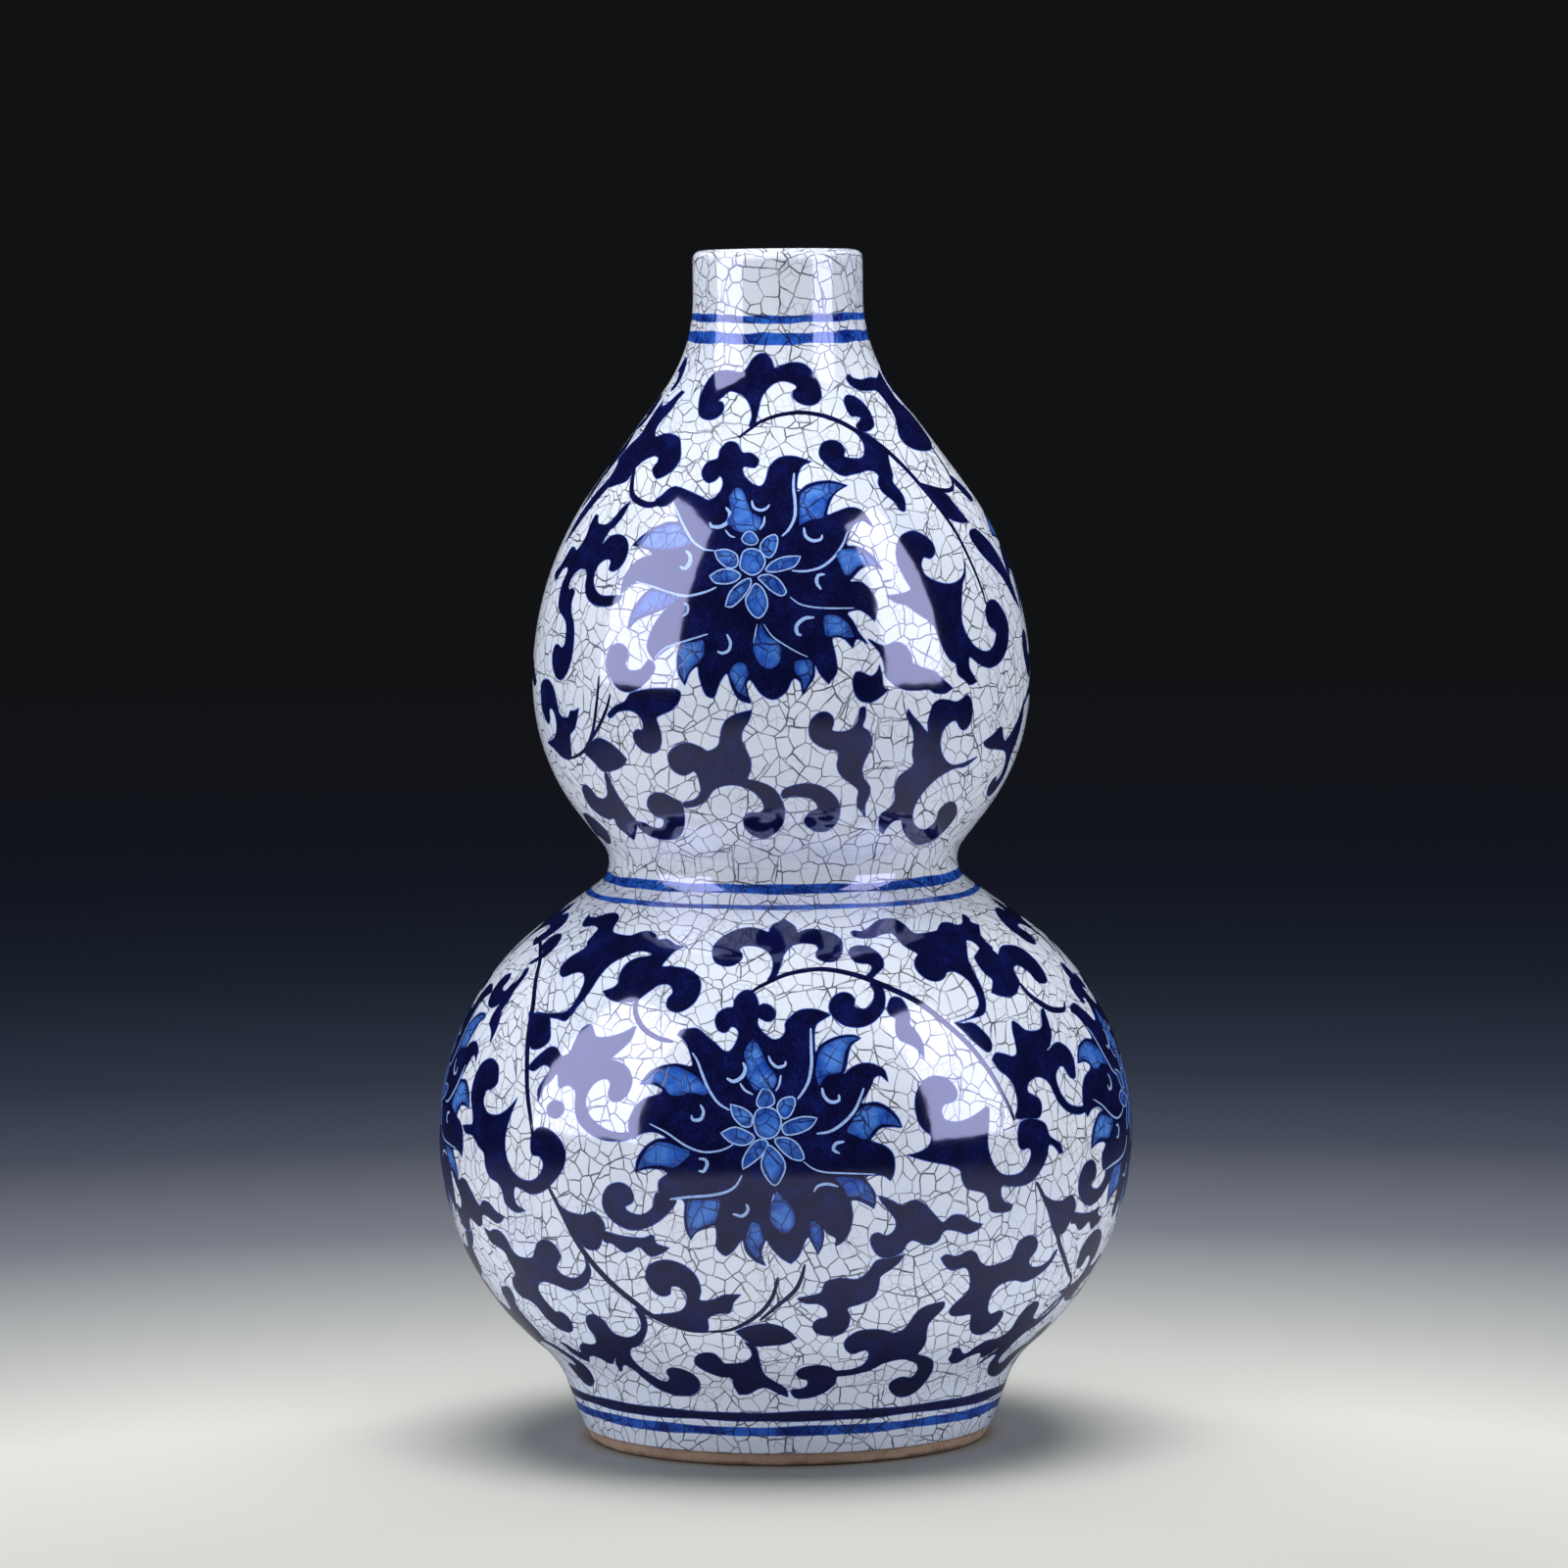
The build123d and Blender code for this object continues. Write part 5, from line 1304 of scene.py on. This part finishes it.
def clay_material(name, clay, speck, burnt_and_shade=None):
    """Bare fired clay; the darker colour marks burn on its edge under the glaze, and burn with painted shade
    on its edge at the ground.
    """
    material, tree, shader, where = new_material(name)
    clay_grain_group()
    values = {"Position": where, "Clay": clay, "Speck": speck, "Scale": CLAY_SCALE}
    grain = use_group(tree, CLAY_GRAIN, values)
    colour = grain["Color"]
    if burnt_and_shade is not None:
        level = put(tree, "ShaderNodeSeparateXYZ", {0: where}).outputs[2]
        sway = maths(tree, "SUBTRACT", noise(tree, where, 120.0), 0.5)
        level = maths(tree, "ADD", level, maths(tree, "MULTIPLY", sway, BURN_SWAY * MM))
        # At the ground the darker clay is partly burn and partly painted shade where the foot meets the
        # floor; under the glaze it is burn
        for (low, high), start, end in ((GROUND_BURN_AND_SHADE_LEVELS, 0.75, 0.0), (GLAZE_BURN_LEVELS, 0.0, 0.5)):
            burn_and_shade = ramp(tree, level, low=low * MM, high=high * MM, start=start, end=end)
            colour = mix(tree, burn_and_shade, colour, burnt_and_shade)
    tree.links.new(colour, shader.inputs["Base Color"])
    tree.links.new(grain["Roughness"], shader.inputs["Roughness"])
    bump(tree, shader, grain["Height"], CLAY_HEIGHT, strength=0.8)
    return material


def colour_property(name, description, default):
    """A colour that a user may change."""
    return FloatVectorProperty(
        name=name, description=description, subtype="COLOR", size=4, min=0.0, max=1.0, default=shade(*default)
    )


def length_property(name, description, millimetres):
    """A length that a user may change, worked out from the frame's height."""
    size = millimetres * MM
    return FloatProperty(name=name, description=description, subtype="DISTANCE", unit="LENGTH", default=size)


def angle_property(name, description, degrees):
    """An angle that a user may change."""
    return FloatProperty(name=name, description=description, subtype="ANGLE", default=math.radians(degrees))


def power_property(name, description, watts):
    """A lamp's power that a user may change."""
    return FloatProperty(name=name, description=description, subtype="POWER", default=watts)


class VaseColours(bpy.types.PropertyGroup):
    glaze: colour_property("Glaze", "White glaze", (216, 222, 234))
    glaze_cool: colour_property("Cool glaze", "Bluer clouds in the white glaze", (204, 212, 230))
    # Lighter, bluer glaze that is mixed in towards the foot
    glaze_low: colour_property("Pooled glaze", "Bluer glaze that has run to the foot", (228, 238, 255))
    crack: colour_property("Crackle", "Stained cracks in the white glaze", (54, 56, 66))
    crack_paint: colour_property("Crackle over paint", "Cracks where they run over blue", (14, 22, 70))
    cobalt: colour_property("Cobalt", "Heaped dark painting", (8, 9, 43))
    cobalt_thin: colour_property("Thin cobalt", "Dark painting where it is thinner", (17, 24, 86))
    wash_deep: colour_property("Deep wash", "Petal wash where it pools", (26, 74, 168))
    wash_light: colour_property("Light wash", "Petal wash where it is thin", (78, 128, 206))
    line_dark: colour_property("Line edge", "Darker streaks of the lines and petals", (7, 24, 106))
    line_light: colour_property("Line", "Lighter streaks of the lines", (42, 98, 200))
    bleed: colour_property("Bleed", "Thin blue that has run from the dark painting", (84, 116, 196))
    pale: colour_property("Reserve", "Pale lines left in the dark flower", (148, 177, 228))
    clay: colour_property("Clay", "Bare clay of the foot", (174, 147, 128))
    clay_speck: colour_property("Clay speck", "Darker grains in the clay", (124, 100, 84))
    # Darker clay of the foot's edges: burn, and at the ground also painted shade
    clay_burnt_and_shaded: colour_property("Burnt clay", "Darker edge of the foot", (88, 66, 54))
    slip: colour_property("Slip", "Slip that joins the sections", (186, 160, 134))


class VaseSizes(bpy.types.PropertyGroup):
    crack_cell: length_property("Crackle cell", "Width across one cell of the crackle", 4.5)
    crack_width: length_property("Crackle width", "Width of a crack", 0.33)
    pale_rim: length_property("Rosette rim", "Width of the pale rim round a rosette's petals", 0.36)
    wash_rim: length_property("Petal outline", "Width of the dark line round a washed petal", 0.45)
    bleed: length_property("Bleed", "Width of the blue that has run from the dark painting", 0.22)
    columns: IntProperty(name="Columns", description="Steps of the glaze round the vase", default=150, min=24)
    ring_step: length_property("Ring step", "Height of the glaze's plain rings", 2.2)
    outline_step: length_property("Outline step", "Length of the painted outlines' steps", 0.95)


class StageSettings(bpy.types.PropertyGroup):
    camera_distance: length_property("Camera distance", "From the vase's axis to the camera", 2074.5)
    camera_height: length_property("Camera height", "Height of the camera", 348.1)
    camera_side: length_property("Camera side", "How far the camera stands to the right", 0.4)
    camera_pitch: angle_property("Camera pitch", "How far the camera looks down", 5.03)
    camera_roll: angle_property("Camera roll", "Clockwise tilt of the camera", 0.53)
    lens: FloatProperty(
        name="Lens", description="Focal length of the camera", subtype="DISTANCE_CAMERA", default=189.5
    )
    lamp_distance: length_property("Lamp distance", "From the vase's axis to each softbox", 1250.0)
    left_width: length_property("Left width", "Width of the left softbox", 960.0)
    right_width: length_property("Right width", "Width of the right softbox", 670.0)
    lamp_height: length_property("Lamp height", "Height of each softbox", 1670.0)
    lamp_bottom: length_property("Lamp bottom", "Height of each softbox's lower edge", 170.0)
    left_angle: angle_property("Left angle", "Left softbox, round from the camera", -69)
    right_angle: angle_property("Right angle", "Right softbox, round from the camera", 63)
    lamp_power: power_property("Lamp power", "Power of the left softbox; the right one is as bright", 15.4)
    top_power: power_property("Top power", "Power of the overhead panel", 29.0)
    fill: FloatProperty(
        name="Fill", description="Strength of the soft light from all round", default=0.24, min=0.0
    )
    backdrop: colour_property("Backdrop", "Dark beyond the floor", (17, 18, 20))


def finished(obj, slot, *nodes):
    """Fixes a piece to the vase's body and lets it stand for CAD nodes, which it hides; the slot is not used.
    """
    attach(obj, "root")
    if nodes:
        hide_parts(*nodes)


def dress(node, material):
    """Gives a CAD node its material."""
    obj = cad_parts[node]
    obj.data.materials.clear()
    obj.data.materials.append(material)


class VASE_OT_painted_glaze(bpy.types.Operator):
    """Lay the outer glaze, cut along its painting, over the vase"""

    bl_idname = "vase.painted_glaze"
    bl_label = "Painted Glaze"

    def execute(self, context):
        sizes = context.scene.vase_sizes
        mesh = glaze_mesh("painted_glaze", sizes)
        obj = bpy.data.objects.new("painted_glaze", mesh)
        context.collection.objects.link(obj)
        mesh.materials.append(painted_glaze_material(context.scene.vase_colours, sizes))
        finished(obj, "glaze", "outer_glaze")
        return {"FINISHED"}


class VASE_OT_plain_glazes(bpy.types.Operator):
    """Glaze the inside of the vase and the recess under its base"""

    bl_idname = "vase.plain_glazes"
    bl_label = "Plain Glazes"

    def execute(self, context):
        material = plain_glaze_material("plain glaze", context.scene.vase_colours, context.scene.vase_sizes)
        for node in ("inner_glaze", "base_glaze"):
            dress(node, material)
        return {"FINISHED"}


class VASE_OT_clay_sections(bpy.types.Operator):
    """Give the thrown sections and the slip between them their fired clay"""

    bl_idname = "vase.clay_sections"
    bl_label = "Clay Sections"

    def execute(self, context):
        colours = context.scene.vase_colours
        grain = (tuple(colours.clay), tuple(colours.clay_speck))
        foot = clay_material("foot clay", *grain, tuple(colours.clay_burnt_and_shaded))
        body = clay_material("body clay", *grain)
        slip = clay_material("slip", tuple(colours.slip), tuple(colours.clay))
        dress("base_bowl", foot)
        for node in ("lower_dome", "upper_bowl", "upper_dome", "neck_collar"):
            dress(node, body)
        for node in ("lower_equator_slip", "waist_slip", "upper_equator_slip", "neck_slip"):
            dress(node, slip)
        return {"FINISHED"}


# Floor colour by distance in millimetres from a point in front of the vase: a painted pool of light, palest
# near the vase, that falls off into painted dark
FLOOR_MIDDLE = (0.0, -250.0, 0.0)
FLOOR_PAINTED_LIGHT = [
    (150, (190, 192, 187)),
    (300, (203, 205, 199)),
    (440, (166, 168, 167)),
    (620, (108, 112, 121)),
    (821, (67, 72, 85)),
    (1000, (46, 52, 66)),
    (1300, (28, 37, 50)),
    (1670, (20, 24, 38)),
    (2800, (0, 0, 0)),
]

# Width of the floor in metres, how far it darkens where the glaze mirrors it, its roughness, and the share
# of the fade beyond which the backdrop takes over
FLOOR_WIDTH, FLOOR_MIRROR_LOSS, FLOOR_ROUGHNESS, BACKDROP_START = 40.0, 0.65, 0.8, 0.3
WHITE, BLACK = (1.0, 1.0, 1.0, 1.0), (0.0, 0.0, 0.0, 1.0)

# Height and width of the overhead panel in millimetres, and the softboxes' colour
TOP_LEVEL, TOP_WIDTH = 1500.0, 1100.0
LAMP_TINT = (0.94, 0.95, 1.0)


def floor_material(settings):
    """Floor with a painted pool of light that falls off into the dark, and that counts as white where it
    bounces light.
    """
    material, tree, shader, where = new_material("floor")
    middle = tuple(part * MM for part in FLOOR_MIDDLE)
    reach = put(tree, "ShaderNodeVectorMath", {0: where, 1: middle}, operation="DISTANCE").outputs["Value"]
    farthest = FLOOR_PAINTED_LIGHT[-1][0]
    share = maths(tree, "DIVIDE", reach, farthest * MM)
    painted_falloff = put(tree, "ShaderNodeValToRGB", {0: share})
    stops = painted_falloff.color_ramp.elements
    while len(stops) < len(FLOOR_PAINTED_LIGHT):
        stops.new(1.0)
    for stop, (distance, colour) in zip(stops, FLOOR_PAINTED_LIGHT):
        stop.position = distance / farthest
        stop.color = shade(*colour)
    path = tree.nodes.new("ShaderNodeLightPath").outputs
    colour = mix(tree, path["Is Diffuse Ray"], painted_falloff.outputs[0], WHITE)
    mirrored = maths(tree, "MULTIPLY", path["Is Glossy Ray"], FLOOR_MIRROR_LOSS)
    colour = mix(tree, mirrored, colour, tuple(settings.backdrop))
    tree.links.new(colour, shader.inputs["Base Color"])
    # Far off, the floor glows faintly in the backdrop colour: a painted glow
    far = ramp(tree, share, low=BACKDROP_START, high=1.0)
    glow = mix(tree, far, BLACK, tuple(settings.backdrop))
    tree.links.new(glow, shader.inputs["Emission Color"])
    shader.inputs["Emission Strength"].default_value = 1.0
    shader.inputs["Roughness"].default_value = FLOOR_ROUGHNESS
    shader.inputs["Specular IOR Level"].default_value = 0.0
    return material


def set_world(scene, settings):
    """Soft light from all round, behind a dark backdrop that the camera and the glaze see."""
    world = bpy.data.worlds.new("studio")
    scene.world = world
    world.use_nodes = True
    tree = world.node_tree
    background = tree.nodes["Background"]
    path = tree.nodes.new("ShaderNodeLightPath").outputs
    seen = maths(tree, "MAXIMUM", path["Is Camera Ray"], path["Is Glossy Ray"])
    fill = (settings.fill, settings.fill, settings.fill, 1.0)
    tree.links.new(mix(tree, seen, fill, tuple(settings.backdrop)), background.inputs["Color"])


class VASE_OT_stage(bpy.types.Operator):
    """Set up the floor, two softboxes, an overhead panel, the fill light and the camera"""

    bl_idname = "vase.stage"
    bl_label = "Stage"

    def execute(self, context):
        settings = context.scene.vase_stage
        bpy.ops.mesh.primitive_plane_add(size=FLOOR_WIDTH, location=(0, 0, 0))
        floor = context.object
        floor.name = "floor"
        floor.data.materials.append(floor_material(settings))

        # The softboxes light the vase alone, as with flags between them and the floor
        unlit = bpy.data.collections.new("flagged off the softboxes")
        unlit.objects.link(floor)
        unlit.collection_objects[0].light_linking.link_state = "EXCLUDE"
        middle = settings.lamp_bottom + settings.lamp_height / 2
        softboxes = [
            ("softbox left", settings.left_angle, settings.left_width),
            ("softbox right", settings.right_angle, settings.right_width),
        ]
        for name, turn, width in softboxes:
            place = (
                settings.lamp_distance * math.sin(turn),
                -settings.lamp_distance * math.cos(turn),
                middle,
            )
            bpy.ops.object.light_add(type="AREA", location=place, rotation=(math.pi / 2, 0, turn))
            lamp = context.object
            lamp.name = name
            lamp.data.shape = "RECTANGLE"
            lamp.data.size = width
            lamp.data.size_y = settings.lamp_height
            lamp.data.energy = settings.lamp_power * width / settings.left_width
            lamp.data.color = LAMP_TINT
            lamp.light_linking.receiver_collection = unlit
        bpy.ops.object.light_add(type="AREA", location=(0, 0, TOP_LEVEL * MM))
        panel = context.object
        panel.name = "overhead panel"
        panel.data.size = TOP_WIDTH * MM
        panel.data.energy = settings.top_power
        panel.visible_glossy = False

        set_world(context.scene, settings)
        place = Vector((settings.camera_side, -settings.camera_distance, settings.camera_height))
        bpy.ops.object.camera_add(location=place)
        camera = context.object
        look = Matrix.Rotation(math.pi / 2 - settings.camera_pitch, 4, "X")
        roll = Matrix.Rotation(-settings.camera_roll, 4, "Z")
        camera.matrix_world = Matrix.Translation(place) @ look @ roll
        camera.data.lens = settings.lens
        context.scene.camera = camera
        context.scene.view_settings.view_transform = "Standard"
        return {"FINISHED"}


class VASE_PT_panel(bpy.types.Panel):
    bl_idname = "VASE_PT_panel"
    bl_label = "Gourd Vase"
    bl_space_type = "VIEW_3D"
    bl_region_type = "UI"
    bl_category = "Gourd Vase"

    def draw(self, context):
        for operator in OPERATORS:
            self.layout.operator(operator.bl_idname)
        for group in (context.scene.vase_sizes, context.scene.vase_colours, context.scene.vase_stage):
            box = self.layout.box()
            for name in group.__annotations__:
                box.prop(group, name)


OPERATORS = (VASE_OT_clay_sections, VASE_OT_plain_glazes, VASE_OT_painted_glaze, VASE_OT_stage)
GROUPS = (VaseColours, VaseSizes, StageSettings)
CLASSES = GROUPS + OPERATORS + (VASE_PT_panel,)


def register():
    for made in CLASSES:
        bpy.utils.register_class(made)
    bpy.types.Scene.vase_colours = PointerProperty(type=VaseColours)
    bpy.types.Scene.vase_sizes = PointerProperty(type=VaseSizes)
    bpy.types.Scene.vase_stage = PointerProperty(type=StageSettings)


def unregister():
    del bpy.types.Scene.vase_stage
    del bpy.types.Scene.vase_sizes
    del bpy.types.Scene.vase_colours
    for made in reversed(CLASSES):
        bpy.utils.unregister_class(made)


def main():
    register()
    bpy.ops.object.select_all(action="DESELECT")
    bpy.ops.vase.clay_sections()
    bpy.ops.vase.plain_glazes()
    bpy.ops.vase.painted_glaze()
    bpy.ops.vase.stage()


if __name__ == "__main__":
    main()
